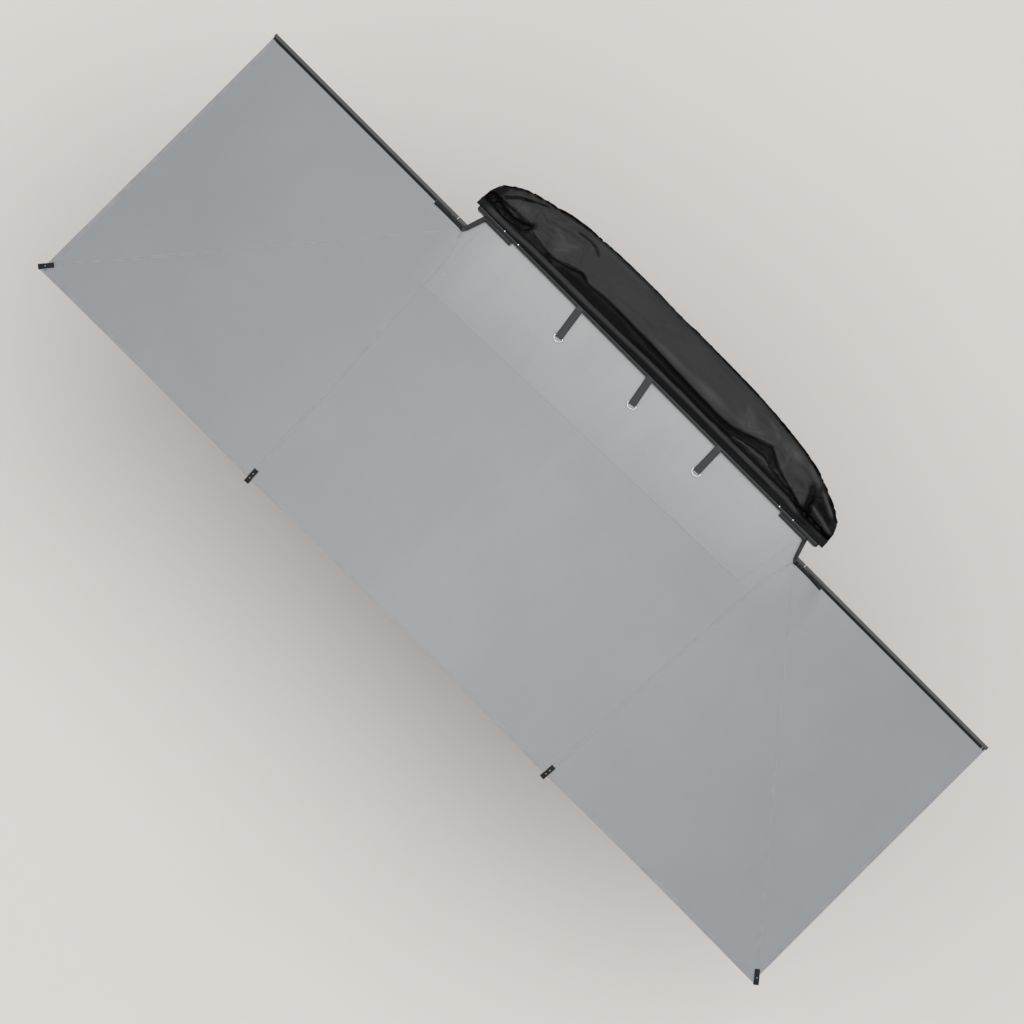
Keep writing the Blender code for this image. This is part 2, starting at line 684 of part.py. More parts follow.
def make_side_rafter(name, carrier):
    """A hollow rafter along the canvas's end, with a track for the canvas in its canvas side."""
    flip = -SIDES[name]
    half = SIDE_HALF_HEIGHT
    near = -SIDE_LANE
    far = near - SIDE_WIDTH
    groove_low = SEAT_Z - SIDE_GROOVE_PLAY
    groove_high = SEAT_Z + CANVAS_THICKNESS + SIDE_GROOVE_PLAY
    section = [
        (near, -half),
        (near, groove_low),
        (near - SIDE_GROOVE, groove_low),
        (near - SIDE_GROOVE, groove_high),
        (near, groove_high),
        (near, half),
        (far, half),
        (far, -half),
    ]
    hollow = rectangle(far + SIDE_WALL, -half + SIDE_WALL, near - SIDE_WALL, groove_low - SIDE_WALL)
    end = rafter_reach("side")
    place = Matrix.Translation((SIDE_START, 0, 0)) @ ALONG_X
    shape = extruded(outline_side(section, flip), end - SIDE_START, place, [outline_side(hollow, flip)])
    add_object(f"side_rafter_{name}", shape, "coated_aluminium", carrier)
    y0, y1 = sorted((flip * near, flip * far))
    cap = block((end + GAP, y0, -half), (end + GAP + SIDE_CAP, y1, half))
    add_object(f"side_rafter_cap_{name}", cap, "black_plastic", carrier)


def outline_side(points, flip):
    """Reverses the first coordinate of a cross-section for the right-hand side."""
    return [(flip * y, z) for y, z in points]


def make_side_strap(name, carrier):
    """The strap hinge of the side rafter: it lies on the pin's line, beside the rafter it holds."""
    flip = -SIDES[name]
    half = RAFTER_WIDTH / 2
    web_outer = -SIDE_LANE + GAP
    web_inner = web_outer + HINGE_PLATE
    eye = arc((0, 0), KNUCKLE_RADIUS, 90, 270, 10)

    def plate(wide_from, z):
        outline = [
            *eye,
            (wide_from, -half),
            (wide_from, web_outer),
            (SIDE_STRAP_LENGTH, web_outer),
            (SIDE_STRAP_LENGTH, half),
            (KNUCKLE_RADIUS, half),
        ]
        return extruded(outline_at(outline, flip), HINGE_PLATE, Matrix.Translation((0, 0, z)))

    upper = plate(SIDE_SLOT_LENGTH, SIDE_LEVEL)
    strap = add_object(f"side_hinge_strap_{name}", upper, "powder_coat", carrier)
    lower = plate(SIDE_START, -SIDE_LEVEL - HINGE_PLATE)
    y0, y1 = sorted((flip * web_outer, flip * web_inner))
    inside = SIDE_LEVEL + HINGE_PLATE / 2
    y0, y1 = y0 + JOIN_INSET, y1 - JOIN_INSET
    ends = (SIDE_SLOT_LENGTH + JOIN_INSET, SIDE_STRAP_LENGTH - JOIN_INSET)
    web = block((ends[0], y0, -inside), (ends[1], y1, inside))
    for label, shape in (("lower", lower), ("web", web)):
        combine(strap, add_helper(f"side_strap_{label}_{name}", shape, carrier), "UNION")
    add_pin_hole(strap, carrier)


def make_rafters():
    for name in SIDES:
        make_bracket(name, SIDES[name])
        carrier = make_carrier("side", name)
        make_side_rafter(name, carrier)
        make_side_strap(name, carrier)
        for kind in ("corner", "mid"):
            carrier = make_carrier(kind, name)
            make_clevis(kind, name, carrier)
            make_channel(kind, name, carrier)
            make_tip(kind, name, carrier)
            make_leg(kind, name, carrier)


# Canvas


def mid_seam_x(side, y, shift=0.0):
    """X of the seam over a middle rafter at this Y. Near the pin it bends in to the elbow."""
    start = KNUCKLE_RADIUS + ELBOW_CLEAR
    out = PIN_Y - y
    lean = mix(MID_LANE, MID_LEAN, max(out, SEAM_KNEE) / CANVAS_REACH)
    if out < SEAM_KNEE:
        lean *= max(0.0, out - start) / (SEAM_KNEE - start)
    return side * (PIN_X - lean + shift)


def mid_seam(side, shift):
    """The seam's points from the elbow to the canvas's outer edge, moved sideways by shift."""
    distances = (KNUCKLE_RADIUS + ELBOW_CLEAR, SEAM_KNEE, CANVAS_REACH)
    return [(mid_seam_x(side, PIN_Y - out, shift), PIN_Y - out) for out in distances]


def canvas_height(x, y):
    """Height of the canvas's underside: on the rafters, and rising to the rail's track."""
    left, right = mid_seam_x(-1, y), mid_seam_x(1, y)
    across = min(max((x - left) / (right - left), 0.0), 1.0)
    seat = mix(LEFT_Z, RIGHT_Z, across) + SEAT_Z
    beyond = max(0.0, abs(x) - PIN_X)
    out = max(0.0, PIN_Y - y)
    turn = math.atan2(out, beyond) / math.radians(90) if beyond else 1.0
    limit = mix(RISE_SIDE, RISE_OUT, turn)
    rise = smooth_step(1 - (math.hypot(beyond, out) - RISE_FLAT) / (limit - RISE_FLAT))
    return mix(seat, CANVAS_RAIL_Z, rise)


CANVAS_CUTS_OUT = (0.0, 0.06, 0.10, 0.15, 0.20, 0.28, 0.36, 0.45, 0.60, 0.90, 1.30)
CANVAS_CUTS_BEYOND = (0.0, 0.05, 0.10, 0.15, 0.20, 0.28, 0.36, 0.60, 1.00)
CANVAS_CUTS_INSIDE = (0.0, 0.55)


def canvas_panel(name, outline):
    """A thin panel that follows canvas_height, cut along lines where its slope changes."""
    bm = bmesh.new()
    bm.faces.new([bm.verts.new((x, y, 0)) for x, y in outline])
    planes = [((0, PIN_Y - out, 0), (0, 1, 0)) for out in CANVAS_CUTS_OUT]
    for side in (-1, 1):
        planes += [((side * (PIN_X + beyond), 0, 0), (1, 0, 0)) for beyond in CANVAS_CUTS_BEYOND]
        planes += [((side * inside, 0, 0), (1, 0, 0)) for inside in CANVAS_CUTS_INSIDE]
    for point, normal in planes:
        geometry = bm.verts[:] + bm.edges[:] + bm.faces[:]
        bmesh.ops.bisect_plane(bm, geom=geometry, dist=MERGE, plane_co=point, plane_no=normal)
    bmesh.ops.triangulate(bm, faces=bm.faces[:])
    grown = bmesh.ops.extrude_face_region(bm, geom=bm.faces[:])
    raised = {item for item in grown["geom"] if isinstance(item, bmesh.types.BMVert)}
    for corner in bm.verts:
        lift = CANVAS_THICKNESS if corner in raised else 0.0
        corner.co.z = canvas_height(corner.co.x, corner.co.y) + lift
    return add_object(name, bm, "canvas")


def ray_point(kind, side, distance, shift):
    """A point on a rafter's line, moved sideways by shift, clockwise on the left side."""
    angle = math.radians(rafter_angles()[kind])
    x = -PIN_X + distance * math.cos(angle) + shift * math.sin(angle)
    y = PIN_Y + distance * math.sin(angle) - shift * math.cos(angle)
    return (-side * x, y)


def end_edge_point(side, shift):
    """Where the line beside a corner rafter meets the canvas's end edge."""
    angle = math.radians(rafter_angles()["corner"])
    distance = -(CANVAS_PAST_PIN + shift * math.sin(angle)) / math.cos(angle)
    return ray_point("corner", side, distance, shift)


def make_canvas():
    half_seam = SEAM_GAP / 2
    start = KNUCKLE_RADIUS + ELBOW_CLEAR
    strap_edge = PIN_Y - RAFTER_WIDTH / 2 - GAP
    track_edge = PIN_Y + SIDE_LANE + CANVAS_IN_GROOVE
    strap_end = PIN_X + SIDE_STRAP_LENGTH + CANVAS_CUT_CLEAR
    for name, side in SIDES.items():
        outer = [
            ray_point("corner", side, start, half_seam),
            (side * (PIN_X + start), strap_edge),
            (side * strap_end, strap_edge),
            (side * strap_end, track_edge),
            (side * CANVAS_HALF_WIDTH, track_edge),
            end_edge_point(side, half_seam),
        ]
        canvas_panel(f"canvas_side_{name}", outer)
        inner = [
            ray_point("corner", side, start, -half_seam),
            end_edge_point(side, -half_seam),
            (side * CANVAS_HALF_WIDTH, OUTER_Y),
            *reversed(mid_seam(side, half_seam)),
        ]
        canvas_panel(f"canvas_corner_{name}", inner)
    bracket_edge = FRONT_Y - BRACKET_PROUD - GAP
    track_depth = FRONT_Y + CANVAS_IN_GROOVE
    start_point, along, across = bracket_outline(1)[1:]
    beside_arm = start_point - across * (ARM_HALF_WIDTH + ELBOW_CLEAR)
    beside_elbow = Vector((PIN_X, PIN_Y)) - across * start
    below_elbow = Vector((PIN_X, PIN_Y)) + (along - across).normalized() * start
    half = [
        (BRACKET_INNER_X - CANVAS_CUT_CLEAR, track_depth),
        (BRACKET_INNER_X - CANVAS_CUT_CLEAR, bracket_edge),
        (beside_arm.x, bracket_edge),
        tuple(beside_elbow),
        tuple(below_elbow),
        *mid_seam(1, -half_seam),
    ]
    canvas_panel("canvas_centre", half + [(-x, y) for x, y in reversed(half)])


# Cover, straps and rings


def cover_depth(x):
    """How far behind the rail's front face the open cover reaches at this X."""
    beyond = abs(x) / COVER_HALF_LENGTH - COVER_FULL_SHARE
    return mix(COVER_DEPTH, COVER_END_DEPTH, smooth_step(beyond / (1 - COVER_FULL_SHARE)) ** 1.5)


def cover_section(x):
    """The collapsed cover across the rail, as (y, z): a strip over the rail, a valley and a full roll."""
    depth = cover_depth(x)
    on_rail = RAIL_TOP + GAP
    foot_back = RAIL_DEPTH + GAP + FOOT_PLATE + GAP
    behind = foot_back + FOOT_BOLT_HEAD + COVER_BOLT_CLEAR
    points = [
        (COVER_TRACK_SETBACK, on_rail),
        (RAIL_DEPTH + COVER_LIP, on_rail),
        (foot_back + COVER_LIP, FOOT_UPRIGHT + COVER_BOLT_CLEAR),
        (behind, FOOT_UPRIGHT - COVER_VALLEY / 2),
        (behind, COVER_FLOOR),
        (mix(behind, depth, 0.5), COVER_FLOOR),
        (depth - COVER_HEM, COVER_FLOOR + COVER_LIP),
        (depth, COVER_FLOOR + COVER_EDGE_HEIGHT),
        (mix(behind, depth, COVER_FALL_SHARE), COVER_HEIGHT - COVER_VALLEY),
        (mix(behind, depth, COVER_CROWN_SHARE), COVER_HEIGHT),
        (mix(behind, depth, COVER_RISE_SHARE), COVER_HEIGHT - COVER_VALLEY / 2),
        (mix(behind, depth, COVER_DIP_SHARE), COVER_HEIGHT - COVER_DIP),
        (behind - COVER_LIP, RAIL_TOP - COVER_VALLEY),
        (RAIL_DEPTH + 2 * COVER_LIP, on_rail + COVER_SHEET),
        (COVER_TRACK_SETBACK, on_rail + COVER_SHEET),
    ]
    return [(x, FRONT_Y + y, z) for y, z in points]


def make_cover():
    bm = bmesh.new()
    steps = COVER_STATIONS - 1
    rings = []
    for i in range(COVER_STATIONS):
        x = -COVER_HALF_LENGTH * math.cos(math.pi * i / steps)
        rings.append([bm.verts.new(point) for point in cover_section(x)])
    for first, second in zip(rings, rings[1:]):
        for a, b, c, d in zip(first, first[1:] + first[:1], second[1:] + second[:1], second):
            bm.faces.new((a, b, c, d))
    bm.faces.new(rings[0])
    bm.faces.new(rings[-1])
    bmesh.ops.triangulate(bm, faces=bm.faces[:])
    add_object("cover", bm, "cover_sheet")


def ribbon(path, thickness):
    """The edge outline of a strip that follows a path of (distance, height) points."""
    sides = ([], [])
    for i, point in enumerate(path):
        before, after = path[max(i - 1, 0)], path[min(i + 1, len(path) - 1)]
        along = Vector((after[0] - before[0], after[1] - before[1])).normalized()
        normal = Vector((-along.y, along.x)) * thickness / 2
        sides[0].append((point[0] + normal.x, point[1] + normal.y))
        sides[1].append((point[0] - normal.x, point[1] - normal.y))
    return sides[0] + sides[1][::-1]


def strap_path(reach, bar_height):
    """From the rail's top, down onto the canvas, round the ring's bar and back underneath."""
    half = STRAP_THICKNESS / 2
    wrap = RING_WIRE + GAP + half
    top = RAIL_TOP + GAP + half
    low = bar_height - wrap
    high = bar_height + wrap
    bar = reach - wrap
    bend = arc((bar, bar_height), wrap, 90, -90, 8)
    upper = low + STRAP_THICKNESS + GAP
    return [
        (-STRAP_ROOT, top),
        (STRAP_EDGE * 0.4, top),
        (STRAP_EDGE, top - STRAP_DIP),
        (STRAP_EDGE * 2.5, upper + STRAP_DIP * 2 / 3),
        (bar - STRAP_FOLD_BACK, upper),
        (bar - STRAP_FOLD_BACK * 0.7, upper),
        (bar - STRAP_FOLD_BACK * 0.35, high - STRAP_DIP),
        *bend,
        (bar - STRAP_FOLD_BACK * 0.5, low),
        (bar - STRAP_FOLD_BACK, low),
    ]


def make_straps():
    canvas_top = CANVAS_RAIL_Z + CANVAS_THICKNESS
    bar_height = canvas_top + GAP + STRAP_THICKNESS + GAP + RING_WIRE
    for name, x, tilt, reach in zip(STRAP_NAMES, STRAP_X, STRAP_TILT_DEG, STRAP_REACH):
        turn = Matrix.Translation((x, FRONT_Y, 0)) @ Matrix.Rotation(math.radians(tilt), 4, "Z")
        outward = Matrix(((0, 0, -1, 0), (-1, 0, 0, 0), (0, 1, 0, 0), (0, 0, 0, 1)))
        centred = Matrix.Translation((0, 0, -STRAP_WIDTH / 2))
        outline = ribbon(strap_path(reach, bar_height), STRAP_THICKNESS)
        add_object(f"strap_{name}", extruded(outline, STRAP_WIDTH, turn @ outward @ centred), "webbing")
        bar = reach - (RING_WIRE + GAP + STRAP_THICKNESS / 2)
        add_ring(name, turn @ Matrix.Translation((0, -bar, bar_height)))


def add_ring(name, place):
    """A D-ring of round wire: a straight bar in the strap's end and a half round beyond it."""
    curve = bpy.data.curves.new(f"strap_ring_{name}", "CURVE")
    curve.dimensions = "3D"
    curve.bevel_depth = RING_WIRE
    curve.bevel_resolution = 2
    angles = [math.pi * i / RING_STEPS for i in range(RING_STEPS + 1)]
    bow = [(RING_HALF_WIDTH * math.cos(a), -RING_DEPTH * math.sin(a)) for a in angles]
    inner = RING_BAR_SHARE * RING_HALF_WIDTH
    points = [(-inner, 0), (0, 0), (inner, 0)] + bow
    spline = curve.splines.new("POLY")
    spline.points.add(len(points) - 1)
    for target, (x, y) in zip(spline.points, points):
        target.co = (*(place @ Vector((x, y, 0))), 1)
    spline.use_cyclic_u = True
    ring = bpy.data.objects.new(f"strap_ring_{name}", curve)
    curve.materials.append(make_material(f"strap_ring_{name}", *FINISHES["bright_steel"]))
    bpy.context.scene.collection.objects.link(ring)


clear_scene()
make_rail()
make_feet()
make_rafters()
make_canvas()
make_cover()
make_straps()
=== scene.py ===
"""Looks of the vehicle side awning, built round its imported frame. Sizes are in metres."""

import json
import math

import bmesh
import bpy
import numpy as np
from mathutils import Matrix, Vector, noise


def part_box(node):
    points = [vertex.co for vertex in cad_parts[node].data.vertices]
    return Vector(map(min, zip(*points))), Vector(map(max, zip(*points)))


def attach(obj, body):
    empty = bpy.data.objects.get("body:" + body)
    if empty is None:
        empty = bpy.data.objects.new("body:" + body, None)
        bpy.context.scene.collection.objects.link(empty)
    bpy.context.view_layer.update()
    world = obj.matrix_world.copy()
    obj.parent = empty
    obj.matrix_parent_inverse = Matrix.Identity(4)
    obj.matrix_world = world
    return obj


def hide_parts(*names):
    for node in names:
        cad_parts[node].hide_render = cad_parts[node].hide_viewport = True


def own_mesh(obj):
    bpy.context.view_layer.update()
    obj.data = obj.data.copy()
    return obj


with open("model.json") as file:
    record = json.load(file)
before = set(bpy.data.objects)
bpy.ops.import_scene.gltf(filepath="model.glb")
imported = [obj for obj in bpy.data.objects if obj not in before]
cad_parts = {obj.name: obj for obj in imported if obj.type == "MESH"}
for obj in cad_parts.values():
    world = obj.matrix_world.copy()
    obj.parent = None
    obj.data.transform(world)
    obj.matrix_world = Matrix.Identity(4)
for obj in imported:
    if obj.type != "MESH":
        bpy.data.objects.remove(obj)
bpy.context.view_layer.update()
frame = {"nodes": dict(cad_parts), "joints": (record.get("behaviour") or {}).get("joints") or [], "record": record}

JOINTS = {joint["name"]: joint for joint in frame["joints"]}
SIDES = {"left": -1, "right": 1}
PINS = {name: Vector(JOINTS[f"fold_mid_{name}"]["pos_m"]) for name in SIDES}
PIN_X, PIN_Y = PINS["right"].x, PINS["right"].y
RAIL_LOW, RAIL_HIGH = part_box("rail")
FRONT_Y = RAIL_LOW.y

# Canvas, as in the frame
CANVAS_THICKNESS = 0.0012
SEAT_RISE = 0.0156
HALF_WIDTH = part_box("canvas_side_right")[1].x
OUTER_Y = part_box("canvas_centre")[0].y
RAIL_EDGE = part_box("canvas_centre")[1]
REACH = PIN_Y - OUTER_Y
PAST_PIN = HALF_WIDTH - PIN_X
MID_LANE = 0.0275
MID_LEAN = 0.124
CORNER_SHORT = 0.031
CORNER_REACH = REACH - CORNER_SHORT
SEAM_KNEE = 0.160
ELBOW = 0.0135
RISE_FLAT = 0.100
RISE_SIDE = 0.200
RISE_OUT = 0.600
STRAP_HINGE = 0.2008
SIDE_TRACK = 0.018
STRAP_HINGE_EDGE = 0.0113
CLOTH = 0.0007
STEP = 0.018

# Hinge bracket, as in the frame
BRACKET_OUTER_X = 1.160
BRACKET_INNER_X = 0.9642
BRACKET_FRONT = FRONT_Y - 0.0223
ARM_HALF_WIDTH = 0.0125
ARM_CLEAR = 0.0015

CORNER_DEG = math.degrees(math.atan2(CORNER_REACH, PAST_PIN))
MID_DEG = math.degrees(math.atan2(REACH, -MID_LEAN))


def smooth(t):
    t = np.clip(t, 0.0, 1.0)
    return t * t * (3 - 2 * t)


def ramp(value, start, length):
    """A smooth rise from 0 to 1 over a length."""
    return smooth((value - start) / length)


def mix(a, b, t):
    return a + (b - a) * t


def mid_seam_x(side, y):
    """X of the seam over a middle rafter at this Y. Near the pin it bends in to the elbow."""
    out = PIN_Y - np.asarray(y, float)
    lean = mix(MID_LANE, MID_LEAN, np.maximum(out, SEAM_KNEE) / REACH)
    near = lean * np.clip(out - ELBOW, 0, None) / (SEAM_KNEE - ELBOW)
    return side * (PIN_X - np.where(out < SEAM_KNEE, near, lean))


def resting_height(x, y):
    """Height of the canvas's underside: on the rafters, and rising to the rail's track."""
    left, right = mid_seam_x(-1, y), mid_seam_x(1, y)
    across = np.clip((x - left) / (right - left), 0, 1)
    seat = mix(PINS["left"].z, PINS["right"].z, across) + SEAT_RISE
    beyond = np.maximum(0, np.abs(x) - PIN_X)
    out = np.maximum(0, PIN_Y - y)
    turn = np.where(beyond > 0, np.arctan2(out, np.maximum(beyond, 1e-9)) / (math.pi / 2), 1.0)
    limit = mix(RISE_SIDE, RISE_OUT, turn)
    rise = smooth(1 - (np.hypot(beyond, out) - RISE_FLAT) / (limit - RISE_FLAT))
    return mix(seat, RAIL_EDGE.z - CANVAS_THICKNESS, rise)


def bracket_edge():
    """The canvas's edge round a bracket, from the rail to the elbow, as (y, x) on the right."""
    pin = Vector((PIN_X, PIN_Y))
    start = Vector((BRACKET_OUTER_X - ARM_HALF_WIDTH, FRONT_Y - ARM_HALF_WIDTH))
    along = (pin - start).normalized()
    across = Vector((-along.y, along.x))
    beside_arm = start - across * (ARM_HALF_WIDTH + ARM_CLEAR)
    beside_elbow = pin - across * ELBOW
    below_elbow = pin + (along - across).normalized() * ELBOW
    return [
        (BRACKET_FRONT, beside_arm.x),
        (beside_arm.y, beside_arm.x),
        (beside_elbow.y, beside_elbow.x),
        (below_elbow.y, below_elbow.x),
        (PIN_Y - ELBOW, PIN_X),
    ]


def noise_at(x, y, scale, seed, detail=3):
    """Smooth noise between about -1 and 1 at each point."""
    points = zip(np.ravel(x) * scale, np.ravel(y) * scale)
    values = [noise.fractal(Vector((a, b, seed)), 0.9, 2.0, detail) for a, b in points]
    return np.reshape(values, np.shape(x))


SAG_CENTRE = 0.016
SAG_CORNER = 0.009
SAG_SIDE = 0.007
SAG_RADIUS = 1.6
TIP_RIPPLE = 0.0028
TIP_RIPPLE_REACH = 0.15
TIP_RIPPLES = 13
TIP_CLEAR = 0.03
# Ripples of the whole canvas: height, share of it by the rail, and (scale, seed, share) of each kind
RIPPLE = 0.0022
RIPPLE_BY_RAIL = 0.35
RIPPLE_KINDS = ((2.6, 3.1, 1), (7.0, 8.4, 0.55))
# Where the cloth comes free of what holds it, as (start, length)
SAG_FROM_PIN = (0.10, 0.7)
RIPPLE_FROM_PIN = (0.05, 0.2)
FREE_FROM_SEAM = (0.014, 0.07)
FREE_FROM_RAIL = (0.02, 0.15)
FREE_FROM_PIN = (0.05, 0.2)
# The corner rafter's line counts only up to this turn past it, in degrees
CORNER_LINE_TURN = 80
NOT_NEAR = 9.0


def between(value, low, high):
    """How far a value is from both ends of its range: 1 in the middle, 0 at either end."""
    t = np.clip((value - low) / (high - low), 0, 1)
    return 4 * t * (1 - t)


def relief(x, y):
    """Sag between the rafters, soft ripples, and short creases that fan out from the tips."""
    beyond, out = np.abs(x) - PIN_X, PIN_Y - y
    radius = np.hypot(beyond, out)
    turn = np.degrees(np.arctan2(out, beyond))
    left, right = mid_seam_x(-1, y), mid_seam_x(1, y)
    centre = SAG_CENTRE * between(x, left, right) * ramp(out, *SAG_FROM_PIN)
    corner = SAG_CORNER * between(turn, CORNER_DEG, MID_DEG) * smooth(radius / SAG_RADIUS)
    side = SAG_SIDE * between(turn, 0, CORNER_DEG) * smooth(radius / SAG_RADIUS)
    inside = np.abs(x) < np.abs(right)
    sag = np.where(inside, centre, np.where(turn > CORNER_DEG, corner, side))
    from_mid = np.abs(np.abs(x) - np.abs(right))
    from_corner = radius * np.abs(np.sin(np.radians(turn - CORNER_DEG)))
    from_corner = np.where(turn > CORNER_DEG + CORNER_LINE_TURN, NOT_NEAR, from_corner)
    free = ramp(np.minimum(from_mid, from_corner), *FREE_FROM_SEAM)
    free = free * ramp(FRONT_Y - y, *FREE_FROM_RAIL) * ramp(radius, *FREE_FROM_PIN)
    waves = RIPPLE * sum(share * noise_at(x, y, scale, seed) for scale, seed, share in RIPPLE_KINDS)
    crease = np.zeros_like(sag)
    for tip_beyond, tip_out in ((PAST_PIN, CORNER_REACH), (-MID_LEAN, REACH)):
        dx, dy = beyond - tip_beyond, tip_out - out
        distance = np.hypot(dx, dy)
        angle = np.arctan2(dx, np.maximum(dy, 1e-6))
        fade = smooth(distance / TIP_CLEAR) * np.exp(-((distance / TIP_RIPPLE_REACH) ** 2))
        crease += TIP_RIPPLE * fade * np.sin(TIP_RIPPLES * angle + tip_beyond)
    return free * (-sag + waves * mix(RIPPLE_BY_RAIL, 1.0, ramp(out, *RIPPLE_FROM_PIN)) + crease)


def sheet_height(x, y):
    """Height of the middle of the cloth."""
    return resting_height(x, y) + CANVAS_THICKNESS / 2 + relief(x, y)


def link(piece):
    bpy.context.scene.collection.objects.link(piece)
    return piece


def mesh_piece(name, points, faces, material, smooth_shading=True):
    mesh = bpy.data.meshes.new(name)
    mesh.from_pydata([tuple(p) for p in points], [], faces)
    mesh.update()
    mesh.materials.append(material)
    if smooth_shading:
        mesh.shade_smooth()
    return link(bpy.data.objects.new(name, mesh))


def grid_faces(rows, columns, wrap=False):
    faces = []
    for i in range(rows - 1):
        for j in range(columns if wrap else columns - 1):
            k = (j + 1) % columns
            a, b = i * columns, (i + 1) * columns
            faces.append((a + j, a + k, b + k, b + j))
    return faces


def tube_faces(rows, count, turned=False):
    """Faces of a tube through closed rows of points, with both ends closed."""
    first, last = tuple(range(count)), tuple(range((rows - 1) * count, rows * count))
    ends = (first, last[::-1]) if turned else (first[::-1], last)
    return [*grid_faces(rows, count, wrap=True), *ends]


def across_line(line_points):
    """Unit directions square to a line of points."""
    along = np.gradient(line_points, axis=0)
    along /= np.linalg.norm(along, axis=1)[:, None]
    return np.stack([-along[:, 1], along[:, 0]], axis=1)


def run_lengths(line_points):
    """How far along the line each of its points is."""
    return np.concatenate([[0], np.cumsum(np.linalg.norm(np.diff(line_points, axis=0), axis=1))])


SHARP_TRIM = math.radians(50)


def strip(name, points, outline, line_points, material, layer_name):
    """A strip with one outline along a line. Its map says how far across and along, in metres."""
    count = len(outline)
    piece = mesh_piece(name, points, tube_faces(len(line_points), count, True), material)
    piece.data.set_sharp_from_angle(angle=SHARP_TRIM)
    lengths = run_lengths(line_points)
    layer = piece.data.uv_layers.new(name=layer_name)
    for loop in piece.data.loops:
        station, place = divmod(loop.vertex_index, count)
        layer.data[loop.index].uv = (outline[place][0], lengths[station])
    return piece


# Materials


class Nodes:
    """Adds nodes to a material's or the world's tree, and joins them."""

    def __init__(self, tree):
        self.tree = tree

    def join(self, a, b):
        self.tree.links.new(a, b)

    def node(self, kind, place=None, numbers=(), **values):
        """A new node with these values and input numbers. A place goes into its vector."""
        made = self.tree.nodes.new(kind)
        for key, value in values.items():
            setattr(made, key, value)
        for socket, number in dict(numbers).items():
            made.inputs[socket].default_value = number
        if place:
            self.join(place, made.inputs["Vector"])
        return made

    def math(self, operation, a, b=0.0):
        made = self.node("ShaderNodeMath", operation=operation)
        for socket, value in zip(made.inputs, (a, b)):
            if isinstance(value, (int, float)):
                socket.default_value = value
            else:
                self.join(value, socket)
        return made.outputs["Value"]


class Surface(Nodes):
    """A Principled material whose colour, roughness and bump come from a few nodes in object space."""

    def __init__(self, name, colour, roughness, metallic=0.0, specular=0.5, sheen=0.0):
        self.material = bpy.data.materials.new(name)
        self.material.use_nodes = True
        super().__init__(self.material.node_tree)
        self.shader = self.tree.nodes["Principled BSDF"]
        self.colour = colour
        settings = {"Base Color": (*colour, 1), "Roughness": roughness, "Metallic": metallic}
        settings |= {"Specular IOR Level": specular, "Sheen Weight": sheen}
        for socket, value in settings.items():
            self.shader.inputs[socket].default_value = value
        self.place = self.node("ShaderNodeTexCoord").outputs["Object"]
        self.normal = None

    def stretched(self, scale, turn=0.0):
        numbers = {"Scale": scale, "Rotation": (0, 0, turn)}
        return self.node("ShaderNodeMapping", self.place, numbers).outputs["Vector"]

    def noise(self, scale, detail=2.0, roughness=0.5, place=None, distortion=0.0):
        numbers = {"Scale": scale, "Detail": detail, "Roughness": roughness, "Distortion": distortion}
        return self.node("ShaderNodeTexNoise", place or self.place, numbers).outputs["Fac"]

    def cells(self, scale):
        return self.node("ShaderNodeTexVoronoi", self.place, {"Scale": scale}).outputs["Distance"]

    def parts(self):
        """X, Y and Z of the place."""
        return self.node("ShaderNodeSeparateXYZ", self.place).outputs

    def map_parts(self):
        """The two values of the piece's map, as X and Y."""
        place = self.node("ShaderNodeUVMap").outputs["UV"]
        return self.node("ShaderNodeSeparateXYZ", place).outputs

    def fit(self, value, low, high, to_low, to_high):
        made = self.node("ShaderNodeMapRange")
        for socket, number in zip(list(made.inputs)[1:5], (low, high, to_low, to_high)):
            socket.default_value = number
        self.join(value, made.inputs["Value"])
        return made.outputs["Result"]

    def tint(self, share, colour):
        """Mixes the base colour towards another one by a share that comes from a node."""
        made = self.node("ShaderNodeMix", data_type="RGBA")
        base = self.shader.inputs["Base Color"]
        if base.is_linked:
            self.join(base.links[0].from_socket, made.inputs["A"])
        else:
            made.inputs["A"].default_value = (*self.colour, 1)
        made.inputs["B"].default_value = (*colour, 1)
        self.join(share, made.inputs["Factor"])
        self.join(made.outputs["Result"], base)

    def stain(self, value, low, high, share, colour):
        """Tints by up to a share where the value lies between low and high, or past high."""
        self.tint(self.fit(value, low, high, 0.0, share), colour)

    def rough(self, value, low, high):
        """Roughness between two values, by a noise."""
        self.join(self.fit(value, 0.3, 0.7, low, high), self.shader.inputs["Roughness"])

    def bump(self, height, distance, strength=1.0):
        made = self.node("ShaderNodeBump", None, {"Distance": distance, "Strength": strength})
        self.join(height, made.inputs["Height"])
        if self.normal:
            self.join(self.normal, made.inputs["Normal"])
        self.normal = made.outputs["Normal"]
        self.join(self.normal, self.shader.inputs["Normal"])


# Pitch and depth of the canvas's threads
WEAVE = (0.0011, 0.00012)


def woven(surface, pitch, distance):
    """A plain weave: two crossed waves of threads."""
    heights = []
    for turn in (0.0, math.pi / 2):
        numbers = {"Scale": 1 / pitch / 2, "Distortion": 0.4}
        place = surface.stretched((1, 1, 1), turn)
        wave = surface.node("ShaderNodeTexWave", place, numbers, wave_type="BANDS", bands_direction="X")
        heights.append(wave.outputs["Fac"])
    surface.bump(surface.math("MULTIPLY", *heights), distance)


# The panel's far seam as (start, slope), the reach beside it over which it fades, and the depth over which its
# painted light grows towards the rail
PANEL_LINE = (-0.5135, 0.0312)
PANEL_FADE = (0.98, 1.24)
PANEL_DEPTH = 0.36
# Tones of the cloth, of its darker ends, and of the panel by the rail, whose paler tone is partly painted light
CANVAS_TONES = ((0.320, 0.327, 0.337), (0.250, 0.257, 0.269), (0.366, 0.371, 0.374))
CANVAS_ENDS = 2.4
STITCH_LINE = 0.0055
STITCH_HALF = 0.0006
STITCH_PITCH = 0.0042
STITCH_SHARE = 0.68
